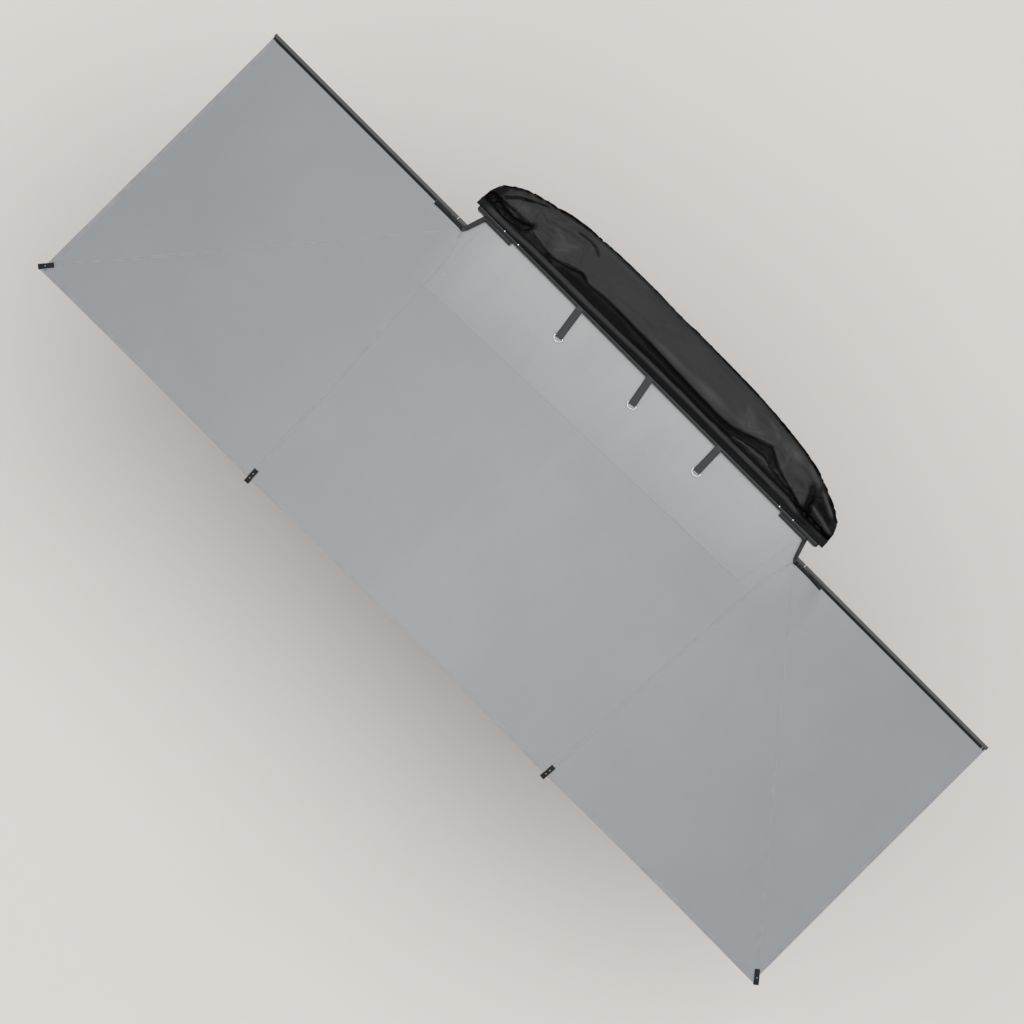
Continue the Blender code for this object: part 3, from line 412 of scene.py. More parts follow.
# Inside this share of the cover's half length the vinyl is calm, and outside it glossier and crumpled
VINYL_ENDS = (0.45, 0.85)
# Grey of the vinyl's top: partly dusty, partly painted light on faces turned up
VINYL_DUST_AND_LIGHT = (0.064, 0.064, 0.064)
WEBBING_EDGE = 0.0165
WEBBING_PITCH = (0.0021, 0.0028)


def canvas_ends_and_lit_panel(surface):
    """Darker towards both ends, and paler on the reinforcement panel by the rail: partly a paler cloth, partly
    painted light that grows towards the rail.
    """
    _, end, panel = CANVAS_TONES
    parts = surface.parts()
    beside = surface.math("ABSOLUTE", parts["X"])
    surface.stain(beside, 0.0, CANVAS_ENDS, 1.0, end)
    start, slope = PANEL_LINE
    line_y = surface.math("ADD", surface.math("MULTIPLY", parts["X"], slope), start)
    above = surface.math("SUBTRACT", parts["Y"], line_y)
    within = surface.math("GREATER_THAN", above, 0.0)
    within = surface.math("MULTIPLY", within, surface.fit(beside, *PANEL_FADE, 1.0, 0.0))
    # Painted light: the panel grows paler towards the rail, where its cloth slopes up to the track
    panel_painted_light = surface.fit(above, 0.0, PANEL_DEPTH, 0.25, 1.0)
    surface.tint(surface.math("MULTIPLY", panel_painted_light, within), panel)


def canvas_surface():
    surface = Surface("canvas_weave", CANVAS_TONES[0], 0.82, sheen=0.15)
    canvas_ends_and_lit_panel(surface)
    blotch = surface.noise(1.1, 4.0, 0.6)
    surface.stain(blotch, 0.35, 0.70, 0.22, (0.375, 0.383, 0.388))
    streak = surface.noise(7.0, 5.0, 0.65, surface.stretched((1.0, 0.35, 1.0), 0.6))
    surface.stain(streak, 0.45, 0.75, 0.22, (0.270, 0.277, 0.288))
    surface.rough(blotch, 0.74, 0.88)
    surface.bump(surface.noise(38.0, 3.0, 0.5), 0.0006)
    woven(surface, *WEAVE)
    return surface.material


def seam_surface():
    """The canvas's cloth, with a row of stitches beside each edge of the band."""
    surface = Surface("canvas_seam", CANVAS_TONES[0], 0.84)
    canvas_ends_and_lit_panel(surface)
    surface.stain(surface.noise(22.0, 3.0), 0.35, 0.7, 0.4, (0.345, 0.352, 0.360))
    parts = surface.map_parts()
    across = surface.math("ABSOLUTE", parts["X"])
    beside = surface.math("ABSOLUTE", surface.math("SUBTRACT", across, STITCH_LINE))
    row = surface.math("LESS_THAN", beside, STITCH_HALF)
    along = surface.math("FRACT", surface.math("MULTIPLY", parts["Y"], 1 / STITCH_PITCH))
    stitch = surface.math("MULTIPLY", row, surface.math("LESS_THAN", along, STITCH_SHARE))
    surface.tint(stitch, (0.46, 0.47, 0.48))
    surface.bump(stitch, STITCH_HALF)
    woven(surface, *WEAVE)
    return surface.material


def vinyl_surface():
    """Black vinyl, grey where the sheet lies on top: dusty there, with painted light on the lip, the roll and the
    ridges, and painted shade in the folds, the valley and the hem. The map's first value is that share.
    """
    surface = Surface("cover_vinyl", (0.0030, 0.0030, 0.0032), 0.45, specular=0.07)
    share = surface.map_parts()["X"]
    beside = surface.math("ABSOLUTE", surface.parts()["X"])
    # The share greys the vinyl: dustiness and painted light, with painted shade where it is low
    surface.tint(share, VINYL_DUST_AND_LIGHT)
    dusty = surface.fit(surface.noise(5.0, 6.0, 0.7, distortion=0.4), 0.50, 0.78, 0.0, 0.80)
    surface.tint(surface.math("MULTIPLY", dusty, share), (0.052, 0.052, 0.052))
    shine = surface.fit(surface.noise(9.0, 4.0, 0.6), 0.3, 0.7, -0.05, 0.08)
    matt = surface.math("ADD", shine, surface.fit(beside, *VINYL_ENDS, 0.50, 0.34))
    surface.join(matt, surface.shader.inputs["Roughness"])
    folds = surface.noise(16.0, 4.0, 0.55, distortion=0.8)
    surface.bump(surface.math("MULTIPLY", folds, surface.fit(beside, *VINYL_ENDS, 0.15, 1.0)), 0.0020, 0.6)
    surface.bump(surface.cells(420.0), 0.00015)
    return surface.material


def coated_surface(name, colour, roughness=0.42, metallic=0.25, specular=0.3):
    surface = Surface(name, colour, roughness, metallic, specular)
    surface.stain(surface.noise(14.0, 6.0, 0.7), 0.55, 0.80, 0.5, tuple(2.2 * c for c in colour))
    surface.rough(surface.noise(60.0, 3.0), roughness - 0.08, roughness + 0.12)
    surface.bump(surface.noise(900.0, 2.0), 0.00012)
    return surface.material


def metal_surface(name, colour, roughness, lines=(1, 1, 1)):
    surface = Surface(name, colour, roughness, 1.0)
    scratch = surface.noise(240.0, 3.0, 0.6, surface.stretched(lines))
    surface.rough(scratch, roughness * 0.75, roughness * 1.35)
    surface.stain(surface.noise(30.0, 4.0, 0.6), 0.5, 0.8, 0.5, tuple(0.72 * c for c in colour))
    surface.bump(scratch, 0.00005)
    return surface.material


def plastic_surface():
    surface = Surface("tip_plastic", (0.0060, 0.0058, 0.0055), 0.5, specular=0.25)
    scuff = surface.noise(26.0, 6.0, 0.7)
    surface.stain(scuff, 0.55, 0.82, 0.5, (0.026, 0.026, 0.025))
    surface.rough(scuff, 0.42, 0.62)
    surface.bump(surface.cells(700.0), 0.0002)
    return surface.material


def webbing_surface():
    surface = Surface("strap_webbing", (0.034, 0.036, 0.040), 0.78, sheen=0.3)
    parts = surface.map_parts()
    edge = surface.math("GREATER_THAN", surface.math("ABSOLUTE", parts["X"]), WEBBING_EDGE)
    surface.tint(edge, (0.016, 0.016, 0.018))
    across, along = [
        surface.math("PINGPONG", surface.math("MULTIPLY", parts[axis], 1 / pitch), 0.5)
        for axis, pitch in zip("XY", WEBBING_PITCH)
    ]
    surface.bump(surface.math("ADD", across, along), 0.0004)
    surface.stain(surface.noise(80.0, 4.0), 0.4, 0.75, 0.4, (0.052, 0.054, 0.059))
    return surface.material


def floor_surface():
    surface = Surface("floor_finish", (0.600, 0.574, 0.555), 0.9)
    surface.stain(surface.noise(0.5, 5.0), 0.35, 0.75, 0.35, (0.575, 0.550, 0.530))
    return surface.material


MATERIALS = {
    "powder_coat": coated_surface("bracket_powder_coat", (0.021, 0.023, 0.024)),
    "coated_aluminium": coated_surface("rail_powder_coat", (0.017, 0.019, 0.020), 0.45),
    "black_plastic": plastic_surface(),
    "zinc_steel": metal_surface("zinc_plate", (0.55, 0.56, 0.57), 0.34),
    "bright_steel": metal_surface("bright_plate", (0.80, 0.80, 0.81), 0.16),
    "leg_aluminium": metal_surface("anodised_tube", (0.60, 0.61, 0.62), 0.32, (1, 1, 0.05)),
    "canvas": canvas_surface(),
    "cover_sheet": vinyl_surface(),
    "webbing": webbing_surface(),
}
SEAM = seam_surface()
TUBE = coated_surface("side_tube_coat", (0.073, 0.077, 0.078), 0.5, 0.0)
TAPE = coated_surface("track_tape", (0.0075, 0.0085, 0.0090), 0.6, 0.0, 0.15)
# A paler copy of the rail's coat on the track's lip: a painted highlight along that edge
TRACK_LIP_HIGHLIGHT = coated_surface("track_lip_highlight", (0.110, 0.113, 0.116), 0.5, 0.0)
STRAP_HINGE_COAT = coated_surface("strap_hinge_coat", (0.011, 0.012, 0.0125), 0.5, 0.1, 0.2)
HEM_CORD = coated_surface("hem_cord", (0.0025, 0.0025, 0.0025), 0.7, 0.0, 0.05)
OWN_SURFACE = {f"side_rafter_{name}": TUBE for name in SIDES}
OWN_SURFACE |= {f"side_hinge_strap_{name}": STRAP_HINGE_COAT for name in SIDES}

SLOTS = {row["node"]: row["material_slot"] for row in frame["record"]["subparts"]}
EDGE_WEAR = 0.0007
EDGE_TURN = math.radians(40)
SHARP_TURN = math.radians(35)
WELD = 0.00002


def dress_frame():
    """Gives each rigid piece of the frame its finish and a small rounded edge."""
    for name, piece in frame["nodes"].items():
        piece.data.materials.clear()
        piece.data.materials.append(OWN_SURFACE.get(name, MATERIALS[SLOTS[name]]))
        weld = piece.modifiers.new("joined", "WELD")
        weld.merge_threshold = WELD
        edge = piece.modifiers.new("rounded", "BEVEL")
        edge.limit_method = "ANGLE"
        edge.angle_limit = EDGE_TURN
        edge.width = EDGE_WEAR
        edge.segments = 2
        piece.data.shade_smooth()
        piece.data.set_sharp_from_angle(angle=SHARP_TURN)


# Canvas panels. Each rides on the arm that carries it.


def gather(piece, name, kind):
    """Lets a piece of the canvas follow its body, with a mesh of its own."""
    if kind == "centre":
        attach(piece, "root")
        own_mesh(piece)
    elif kind == "corner":
        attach(piece, f"corner_arm_{name}")
        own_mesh(piece)
    else:
        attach(piece, f"side_arm_{name}")
        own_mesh(piece)


def cloth_grid(name, rows, material):
    """A sheet through rows of (x, y) points, with the canvas's height and thickness."""
    x, y = np.array(rows)[..., 0], np.array(rows)[..., 1]
    points = np.stack([x, y, sheet_height(x, y)], axis=-1).reshape(-1, 3)
    piece = mesh_piece(name, points, grid_faces(*x.shape), material)
    bm = bmesh.new()
    bm.from_mesh(piece.data)
    bmesh.ops.remove_doubles(bm, verts=bm.verts, dist=1e-6)
    bmesh.ops.recalc_face_normals(bm, faces=bm.faces)
    if sum(face.normal.z for face in bm.faces) < 0:
        bmesh.ops.reverse_faces(bm, faces=bm.faces)
    bm.to_mesh(piece.data)
    bm.free()
    thick = piece.modifiers.new("cloth", "SOLIDIFY")
    thick.thickness = CLOTH
    thick.offset = 0
    return piece


def steps(start, end):
    count = max(2, round(abs(end - start) / STEP))
    return [mix(start, end, i / count) for i in range(count + 1)]


def row_between(start, end, count):
    return [tuple(mix(np.array(start), np.array(end), i / count)) for i in range(count + 1)]


def line(start, end):
    return row_between(start, end, max(2, round(math.dist(start, end) / STEP)))


EDGE_PULL = 0.007
CORNER_PULL = 0.6
# Rows of the centre panel: the jump in width at the bracket's front, and the steps past it and the elbow
FRONT_JUMP = 0.0004
FRONT_STEP = 0.006
ELBOW_STEP = 0.012
# Rows of a side panel: the jump at the strap hinge's end, to either side of it, and the step past it
HINGE_JUMP = 0.0002
HINGE_STEP = 0.012


def outer_y(x):
    """The free outer edge, pulled in a little between the tips."""
    inner = mid_seam_x(1, OUTER_Y)
    if abs(x) < inner:
        return OUTER_Y + EDGE_PULL * between(x, -inner, inner)
    return OUTER_Y + CORNER_PULL * EDGE_PULL * between(abs(x), inner, HALF_WIDTH)


def centre_rows():
    count = round(2 * PIN_X / STEP)
    half = BRACKET_INNER_X
    rows = [row_between((-half, y), (half, y), count) for y in (RAIL_EDGE.y, BRACKET_FRONT)]
    edge = bracket_edge()
    elbow_y = edge[-1][0]
    heights = [-y for y, _ in edge]
    widths = [x for _, x in edge]
    beside = steps(BRACKET_FRONT - FRONT_STEP, elbow_y)
    for y in [BRACKET_FRONT - FRONT_JUMP, *beside, *steps(elbow_y - ELBOW_STEP, OUTER_Y)]:
        inside = y > elbow_y
        half = np.interp(-y, heights, widths) if inside else mid_seam_x(1, y)
        rows.append(row_between((-half, y), (half, y), count))
    pull = [smooth((PIN_Y - row[0][1]) / REACH) for row in rows]
    return [[(x, y + share * (outer_y(x) - OUTER_Y)) for x, y in row] for row, share in zip(rows, pull)]


def corner_rows(side):
    count = round((PAST_PIN + MID_LEAN) / STEP)
    rows = []
    corner_y = PIN_Y - CORNER_REACH
    for y in [*steps(PIN_Y - ELBOW, corner_y), *steps(corner_y, OUTER_Y)[1:]]:
        share = (PIN_Y - y) / REACH
        far = side * (PIN_X + min(PAST_PIN, PAST_PIN * (PIN_Y - y) / CORNER_REACH))
        row = row_between((mid_seam_x(side, y), y), (far, y), count)
        rows.append([(x, b + smooth(share) * share * (outer_y(x) - OUTER_Y)) for x, b in row])
    return rows


def side_rows(side):
    """Rows across a side panel. Two more points reach into the rafter's track past the strap hinge."""
    count = round(REACH / STEP)
    rows = []
    first = steps(ELBOW, STRAP_HINGE - HINGE_JUMP)
    for out in [*first, STRAP_HINGE + HINGE_JUMP, *steps(STRAP_HINGE + HINGE_STEP, PAST_PIN)]:
        near, edge = PIN_Y - CORNER_REACH * out / PAST_PIN, PIN_Y - STRAP_HINGE_EDGE
        top = edge if out < STRAP_HINGE else PIN_Y + SIDE_TRACK
        x = side * (PIN_X + out)
        row = row_between((x, near), (x, max(near, edge)), count)
        rows.append([*row, (x, max(near, mix(edge, top, 0.5))), (x, max(near, top))])
    return rows


def make_canvas():
    plans = [("centre", None, centre_rows())]
    for name, side in SIDES.items():
        plans += [("corner", name, corner_rows(side)), ("side", name, side_rows(side))]
    pieces = {}
    for kind, name, rows in plans:
        key = f"{kind}_{name}" if name else kind
        panel = cloth_grid(f"canopy_{key}", rows, MATERIALS["canvas"])
        gather(panel, name, kind)
        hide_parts(f"canvas_{key}")
        pieces[key] = panel
    return pieces


BAND_HEIGHT = 0.0008
BAND_LIP = 0.0012


def band(name, path, width, shift=0.0, slot="canvas", material=SEAM):
    """A flat sewn band on both faces of the canvas along a path of (x, y) points."""
    path = np.array(path, float)
    half = width / 2
    offsets = (-half, -half + BAND_LIP, 0, half - BAND_LIP, half)
    lifts = (CLOTH / 2, BAND_HEIGHT, BAND_HEIGHT, BAND_HEIGHT, CLOTH / 2)
    upper = list(zip(offsets, lifts))
    outline = upper + [(offset, -lift) for offset, lift in upper[::-1]]
    points = []
    for point, normal in zip(path, across_line(path)):
        for offset, lift in outline:
            x, y = point + normal * (offset + shift)
            points.append((x, y, float(sheet_height(np.array(x), np.array(y))) + lift))
    piece = strip(name, points, outline, path, material, "sewing")
    return piece


HEM = 0.024
FELL = 0.016
PANEL_FELL = 0.8
TAPE_EDGE = 0.0008
TAPE_START = 0.0005
# Where the felled seams start from the pin, and how far they stop from the outer edge
CORNER_SEAM_START = 0.03
CORNER_SEAM_STOP = 0.016
MID_SEAM_START = 0.05
MID_SEAM_STOP = 0.024
PANEL_CORNERS = ((-1.091, -0.547), (1.058, -0.480))
PANEL_STARTS = ((-1.132, -0.165), (1.122, -0.150))


def make_seams():
    """Hems of the free edges, felled seams over the rafters, and the seams of the panel by the rail."""
    bands = {}
    inner = mid_seam_x(1, OUTER_Y)
    corner_y = PIN_Y - CORNER_REACH
    slope = CORNER_REACH / PAST_PIN

    def sew(kind, name, label, path, *shape):
        piece = band(label, path, *shape)
        gather(piece, name, kind)
        bands.setdefault(f"{kind}_{name}" if name else kind, []).append(piece)

    def outer_edge(start, end):
        return [(x, outer_y(x)) for x, _ in line((start, 0), (end, 0))]

    sew("centre", None, "hem_centre", outer_edge(-inner, inner), HEM, HEM / 2)
    corners = dict(zip(SIDES, PANEL_CORNERS))
    sew("centre", None, "panel_seam_far", line(*PANEL_CORNERS), FELL * PANEL_FELL)
    for name, start in zip(SIDES, PANEL_STARTS):
        sew("centre", None, f"panel_seam_{name}", line(start, corners[name]), FELL * PANEL_FELL)
    for name, side in SIDES.items():
        far = side * HALF_WIDTH
        out = side * HEM / 2
        sew("corner", name, f"hem_corner_{name}", outer_edge(*sorted((side * inner, far))), HEM, HEM / 2)
        sew("corner", name, f"hem_end_{name}", line((far, OUTER_Y), (far, corner_y)), HEM, out)
        sew("side", name, f"hem_side_{name}", line((far, corner_y), (far, PIN_Y + SIDE_TRACK)), HEM, out)
        edge = line((side * (PIN_X + STRAP_HINGE + TAPE_START), PIN_Y), (far, PIN_Y))
        middle = side * (SIDE_TRACK + TAPE_EDGE) / 2
        sew("side", name, f"track_tape_{name}", edge, SIDE_TRACK - TAPE_EDGE, middle, "webbing", TAPE)
        start = (side * (PIN_X + CORNER_SEAM_START), PIN_Y - CORNER_SEAM_START * slope)
        ray = line(start, (far - side * CORNER_SEAM_STOP, corner_y + CORNER_SEAM_STOP * slope))
        sew("corner", name, f"seam_corner_{name}", ray, FELL)
        heights = steps(PIN_Y - MID_SEAM_START, OUTER_Y + MID_SEAM_STOP)
        seam = band(f"seam_mid_{name}", [(mid_seam_x(side, y), y) for y in heights], FELL)
        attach(seam, f"mid_arm_{name}")
        bands["centre"].append(seam)
    return bands


# Cover: a sheet-vinyl bag that has collapsed behind the rail. It comes out of the rail's
# track, lies over the rail, rises to a narrow fold, dips, and fills a broad roll behind.

COVER_LOW, COVER_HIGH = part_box("cover")
COVER_HALF = COVER_HIGH.x
COVER_DEPTH = COVER_HIGH.y - FRONT_Y
COVER_FLOOR = COVER_LOW.z
COVER_TRACK = 0.0165
COVER_LAP = 0.026
COVER_SEAT = 0.0014
COVER_LEAST = 0.090
# Over this (start, length) of its half length the cover gets lower by this share
COVER_FLAT = (0.86, 0.14)
COVER_FLAT_SHARE = 0.55
COVER_BACK = 0.0711
COVER_END_ROUND = 0.050
COVER_ROUND_LIMIT = 0.98
COVER_LIP_HEIGHT = 0.1165
COVER_LIP_HALF = 0.012
COVER_DIP_HEIGHT = 0.036
COVER_ROLL_HEIGHT = 0.100
COVER_HEM = 0.016
COVER_CORD = 0.0055
CORD_SUNK = 0.6
CORD_SHORT = 4
# Wobbles along the rail: size, scale and seed
LIP_WANDER = (0.004, 9.0, 1.7)
ROLL_WANDER = (0.006, 8.0, 9.1)
HEIGHT_WANDER = (0.012, 1.9, 3.3)
ROLL_LIMIT = 0.72
# Heights over which creases and their painted marks set in, and the grey of the lip (painted highlight) and of the
# roll (dusty, with painted light), as (start, length)
CREASE_HEIGHT = (0.028, 0.020)
MARK_HEIGHT = (0.045, 0.020)
LIP_HEIGHT = (0.098, 0.008)
ROLL_HEIGHT = (0.040, 0.030)
# Edges of the roll's grey, and of the painted shade in the valley, by the hem and at both ends
ROLL_EDGE = (-0.004, 0.010)
VALLEY_EDGE = 0.010
HEM_EDGE = 0.004
# Share of grey left on the hem: painted shade there
HEM_SHADE_LEVEL = 0.22
LEFT_END = (1.14, 0.06)
RIGHT_END = (0.985, 0.06)
# How much grey both ends lose: less dusty there, and painted shade in their pockets
END_SHADE_AND_CLEAN = 0.9
# Shares on ridges and raised slivers, which are painted highlights, and in the valley, whose painted shade is
# lifted a little; then the level of the whole grey
RIDGE_HIGHLIGHT = 1.5
SLIVER_RISE = 0.03
SLIVER_HIGHLIGHT = 1.35
VALLEY_SHADE_LEVEL = 0.18
DUST_AND_LIGHT_LEVEL = 0.5
# Paler and darker patches in the roll's grey: middle as (along the rail, behind its front), half sizes, and gain
ROLL_TONE_PATCHES = (
    ((0.02, 0.165), (0.20, 0.022), 0.75),
    ((0.28, 0.172), (0.18, 0.034), 0.85),
    ((0.53, 0.195), (0.11, 0.055), 0.85),
    ((0.80, 0.262), (0.10, 0.040), 0.95),
    ((-0.45, 0.325), (0.28, 0.024), 0.35),
    ((0.93, 0.175), (0.08, 0.040), -0.40),
    ((-0.84, 0.125), (0.10, 0.030), -0.25),
    ((-1.05, 0.165), (0.09, 0.035), 0.40),
)
# Places along the rail, and how far behind its front the far edge, the lip and the roll lie there
DEPTH_AT = (-1.25, -1.165, -1.07, -0.953, -0.80, -0.60, -0.34,
            0.28, 0.53, 0.79, 0.94, 1.024, 1.12, 1.21, 1.25)
DEPTH_BEHIND = (0.160, 0.228, 0.272, 0.298, 0.338, 0.353, 0.358,
                0.355, 0.350, 0.327, 0.302, 0.273, 0.232, 0.186, 0.150)
DEPTH_ROUNDING = 0.05
LIP_AT = (-1.00, -0.89, -0.75, -0.63, -0.47, -0.24, -0.08, 0.22, 0.48, 0.725, 0.93, 1.04)
LIP_BEHIND = (0.040, 0.048, 0.050, 0.050, 0.051, 0.056, 0.062, 0.065, 0.064, 0.067, 0.066, 0.050)
ROLL_AT = (-1.10, -0.97, -0.94, -0.78, -0.70, -0.60, -0.55, -0.35, 0.0,
           0.25, 0.42, 0.495, 0.585, 0.70, 0.79, 0.90, 1.00, 1.10)
ROLL_BEHIND = (0.125, 0.130, 0.104, 0.091, 0.112, 0.148, 0.125, 0.140, 0.137,
               0.126, 0.125, 0.135, 0.168, 0.205, 0.154, 0.125, 0.090, 0.085)
# Creases and small ridges: both ends along the rail and behind its front, half width, and rise
CREASES = (
    (-0.765, 0.281, -0.697, 0.290, 0.010, -0.010),
    (-0.697, 0.290, -0.644, 0.286, 0.011, -0.013),
    (-0.644, 0.286, -0.608, 0.264, 0.010, -0.010),
    (-1.156, 0.140, -1.105, 0.190, 0.013, -0.018),
    (-1.105, 0.190, -1.016, 0.238, 0.013, -0.018),
    (-1.016, 0.238, -0.963, 0.262, 0.012, -0.012),
    (-1.175, 0.095, -1.100, 0.075, 0.030, -0.070),
    (-1.120, 0.078, -1.050, 0.085, 0.030, -0.070),
    (-1.070, 0.082, -0.985, 0.105, 0.024, -0.060),
    (-1.000, 0.090, -0.948, 0.140, 0.022, -0.060),
    (-1.110, 0.118, -1.030, 0.106, 0.008, 0.006),
    (-0.806, 0.160, -0.716, 0.222, 0.026, 0.009),
    (-0.790, 0.125, -0.735, 0.176, 0.022, 0.007),
    (-0.860, 0.215, -0.765, 0.188, 0.024, 0.006),
    (0.466, 0.262, 0.532, 0.160, 0.022, 0.010),
    (0.470, 0.258, 0.564, 0.218, 0.026, 0.008),
    (0.455, 0.180, 0.548, 0.165, 0.020, 0.009),
    (0.540, 0.165, 0.623, 0.228, 0.020, 0.008),
    (0.627, 0.190, 0.690, 0.212, 0.022, 0.009),
    (0.600, 0.286, 0.700, 0.258, 0.022, 0.006),
    (0.776, 0.286, 0.812, 0.155, 0.022, 0.011),
    (0.902, 0.276, 0.998, 0.234, 0.022, 0.011),
    (0.515, 0.103, 0.620, 0.118, 0.015, 0.044),
    (0.610, 0.118, 0.700, 0.126, 0.024, 0.048),
    (0.690, 0.126, 0.800, 0.126, 0.030, 0.050),
    (0.790, 0.126, 0.900, 0.110, 0.022, 0.048),
    (0.985, 0.215, 1.040, 0.140, 0.030, -0.030),
    (1.020, 0.150, 1.066, 0.070, 0.026, -0.040),
    (1.056, 0.133, 1.220, 0.100, 0.016, 0.014),
    (1.045, 0.225, 1.165, 0.168, 0.016, 0.014),
    (1.050, 0.180, 1.190, 0.130, 0.014, -0.014),
)
# How strong a crease still is at its ends, and how sharp across
CREASE_END = 0.35
CREASE_SHARP = 1.3
COVER_CELL = 0.0125
COVER_GROW = 0.022
COVER_FRAMES = 30


def wander(x, size, scale, seed):
    """A slow, smooth wobble along the rail."""
    return size * noise.noise(Vector((x * scale, seed, 0.3)))


def cover_depth(x):
    depth = sum(np.interp(x + shift * DEPTH_ROUNDING, DEPTH_AT, DEPTH_BEHIND) for shift in (-1, 0, 1)) / 3
    end = max(0.0, (abs(x) - COVER_HALF + COVER_END_ROUND) / COVER_END_ROUND)
    full = math.sqrt(max(0.0, 1 - min(end, COVER_ROUND_LIMIT) ** 2))
    return mix(COVER_LEAST, min(COVER_DEPTH, depth), full)


def cover_loop(x, shrink=0.0):
    """The bag's outline across the rail, as (distance behind the rail's front, height)."""
    depth = cover_depth(x) - shrink
    back = COVER_BACK + shrink
    top = RAIL_HIGH.z + COVER_SEAT
    low = COVER_FLOOR + 0.002 + shrink
    full = 1 - COVER_FLAT_SHARE * ramp(abs(x) / COVER_HALF, *COVER_FLAT)
    lip = np.interp(x, LIP_AT, LIP_BEHIND) + wander(x, *LIP_WANDER)
    near = min(np.interp(x, ROLL_AT, ROLL_BEHIND) + wander(x, *ROLL_WANDER), ROLL_LIMIT * depth)
    high = mix(low, COVER_ROLL_HEIGHT + wander(x, *HEIGHT_WANDER), full) - shrink
    dip_height = mix(low, COVER_DIP_HEIGHT, full) - shrink
    lip_height = mix(low, COVER_LIP_HEIGHT, full) - shrink
    return [
        (COVER_TRACK, top),
        (COVER_LAP, top),
        (lip - COVER_LIP_HALF, max(top, lip_height - 0.006)),
        (lip - 0.003, lip_height),
        (lip + 0.005, lip_height - 0.001),
        (lip + COVER_LIP_HALF, lip_height - 0.012),
        (mix(lip, near, 0.40), mix(dip_height, lip_height, 0.25)),
        (mix(lip, near, 0.62), dip_height),
        (near - 0.006, mix(dip_height, high, 0.22)),
        (near + 0.004, mix(dip_height, high, 0.88)),
        (mix(near, depth, 0.30), high),
        (mix(near, depth, 0.75), mix(low, high, 0.93)),
        (depth - COVER_HEM, mix(low, high, 0.60)),
        (depth - 0.002, mix(low, high, 0.30)),
        (depth - 0.008, low),
        (mix(back, depth, 0.5), low),
        (back, low),
        (back, mix(low, top, 0.6 * full)),
        (back - 0.008, top - 0.010),
        (0.0555, top - 0.0012),
        (COVER_TRACK, top - 0.0012),
    ]


def finer_grid(grid):
    """Halves the steps of a closed grid of points with a smooth curve through the given ones."""
    def halved(points, before, after, further):
        return (9 * (points + after) - before - further) / 16

    around = np.empty((grid.shape[0], 2 * grid.shape[1], 3))
    around[:, ::2] = grid
    around[:, 1::2] = halved(grid, np.roll(grid, 1, 1), np.roll(grid, -1, 1), np.roll(grid, -2, 1))
    padded = np.concatenate([around[:1], around, around[-1:]])
    along = np.empty((2 * grid.shape[0] - 1, around.shape[1], 3))
    along[::2] = around
    along[1::2] = halved(around[:-1], padded[:-3], around[1:], padded[3:])
    return along


def crease_reach(x, behind, crease):
    """How strongly a crease acts on each point: 1 on its line and 0 outside its half width."""
    x0, b0, x1, b1, half, _ = crease
    span = np.array((x1 - x0, b1 - b0))
    share = np.clip(((x - x0) * span[0] + (behind - b0) * span[1]) / (span @ span), 0, 1)
    away = np.hypot(x - x0 - share * span[0], behind - b0 - share * span[1])
    return mix(CREASE_END, 1, np.sqrt(between(share, 0, 1))) * np.clip(1 - away / half, 0, 1) ** CREASE_SHARP


def creased(grid):
    """Presses the creases into the bag's upper side and lifts its small ridges."""
    x, behind, height = grid[..., 0], grid[..., 1] - FRONT_Y, grid[..., 2]
    for crease in CREASES:
        height = height + crease[-1] * ramp(height, *CREASE_HEIGHT) * crease_reach(x, behind, crease)
    grid[..., 2] = np.clip(height, COVER_FLOOR + 0.001, RAIL_HIGH.z + 0.012)
    return grid


def dust_and_light_share(points):
    """How grey the sheet is: dusty with painted light on the lip, the roll and the ridges, and painted shade in
    the folds, the valley, the hem and at both ends.
    """
    x, behind, height = points[:, 0], points[:, 1] - FRONT_Y, points[:, 2]
    lip = np.interp(x, LIP_AT, LIP_BEHIND)
    near = np.interp(x, ROLL_AT, ROLL_BEHIND)
    depth = np.array([cover_depth(v) for v in x])
    # Painted highlight on the lip; on the roll, dustiness and painted light on its top
    on_lip = smooth(1.5 - np.abs(behind - lip) / COVER_LIP_HALF) * ramp(height, *LIP_HEIGHT)
    on_roll = ramp(behind - near, *ROLL_EDGE) * ramp(height, *ROLL_HEIGHT)
    for (x0, b0), (long, wide), gain in ROLL_TONE_PATCHES:
        away = np.hypot((x - x0) / long, (behind - b0) / wide)
        on_roll = on_roll * (1 + gain * smooth(1 - away))
    # Painted shade on the hem
    on_roll = on_roll * mix(HEM_SHADE_LEVEL, 1.0, smooth((depth - COVER_HEM - behind) / HEM_EDGE + 1))
    # Painted shade in the valley, lifted a little
    valley = VALLEY_SHADE_LEVEL * ramp(behind - lip, COVER_LIP_HALF, VALLEY_EDGE)
    # Painted shade at both ends, which are also less dusty
    ends = 1 - END_SHADE_AND_CLEAN * np.where(x < 0, ramp(-x, *LEFT_END), ramp(x, *RIGHT_END))
    share = np.maximum(np.maximum(on_lip, on_roll), valley) * ends
    upper = ramp(height, *MARK_HEIGHT)
    # Crease marks: painted highlights on ridges, painted shade along folds
    for crease in CREASES:
        mark = np.clip(1.6 * crease_reach(x, behind, crease), 0, 1) * upper
        dust = 0.0 if crease[-1] < 0 else SLIVER_HIGHLIGHT if crease[-1] > SLIVER_RISE else RIDGE_HIGHLIGHT
        share = mix(share, dust, mark * (1.0 if dust else 0.35 + 0.65 * ends))
    return share * DUST_AND_LIGHT_LEVEL


def resampled(points, count, closed):
    """Points at equal steps along a line through the given ones."""
    points = np.array(points, float)
    if closed:
        points = np.vstack([points, points[:1]])
    lengths = run_lengths(points)
    marks = np.linspace(0, lengths[-1], count + 1 if closed else count)
    if closed:
        marks = marks[:-1]
    return np.stack([np.interp(marks, lengths, points[:, i]) for i in range(points.shape[1])], axis=1)


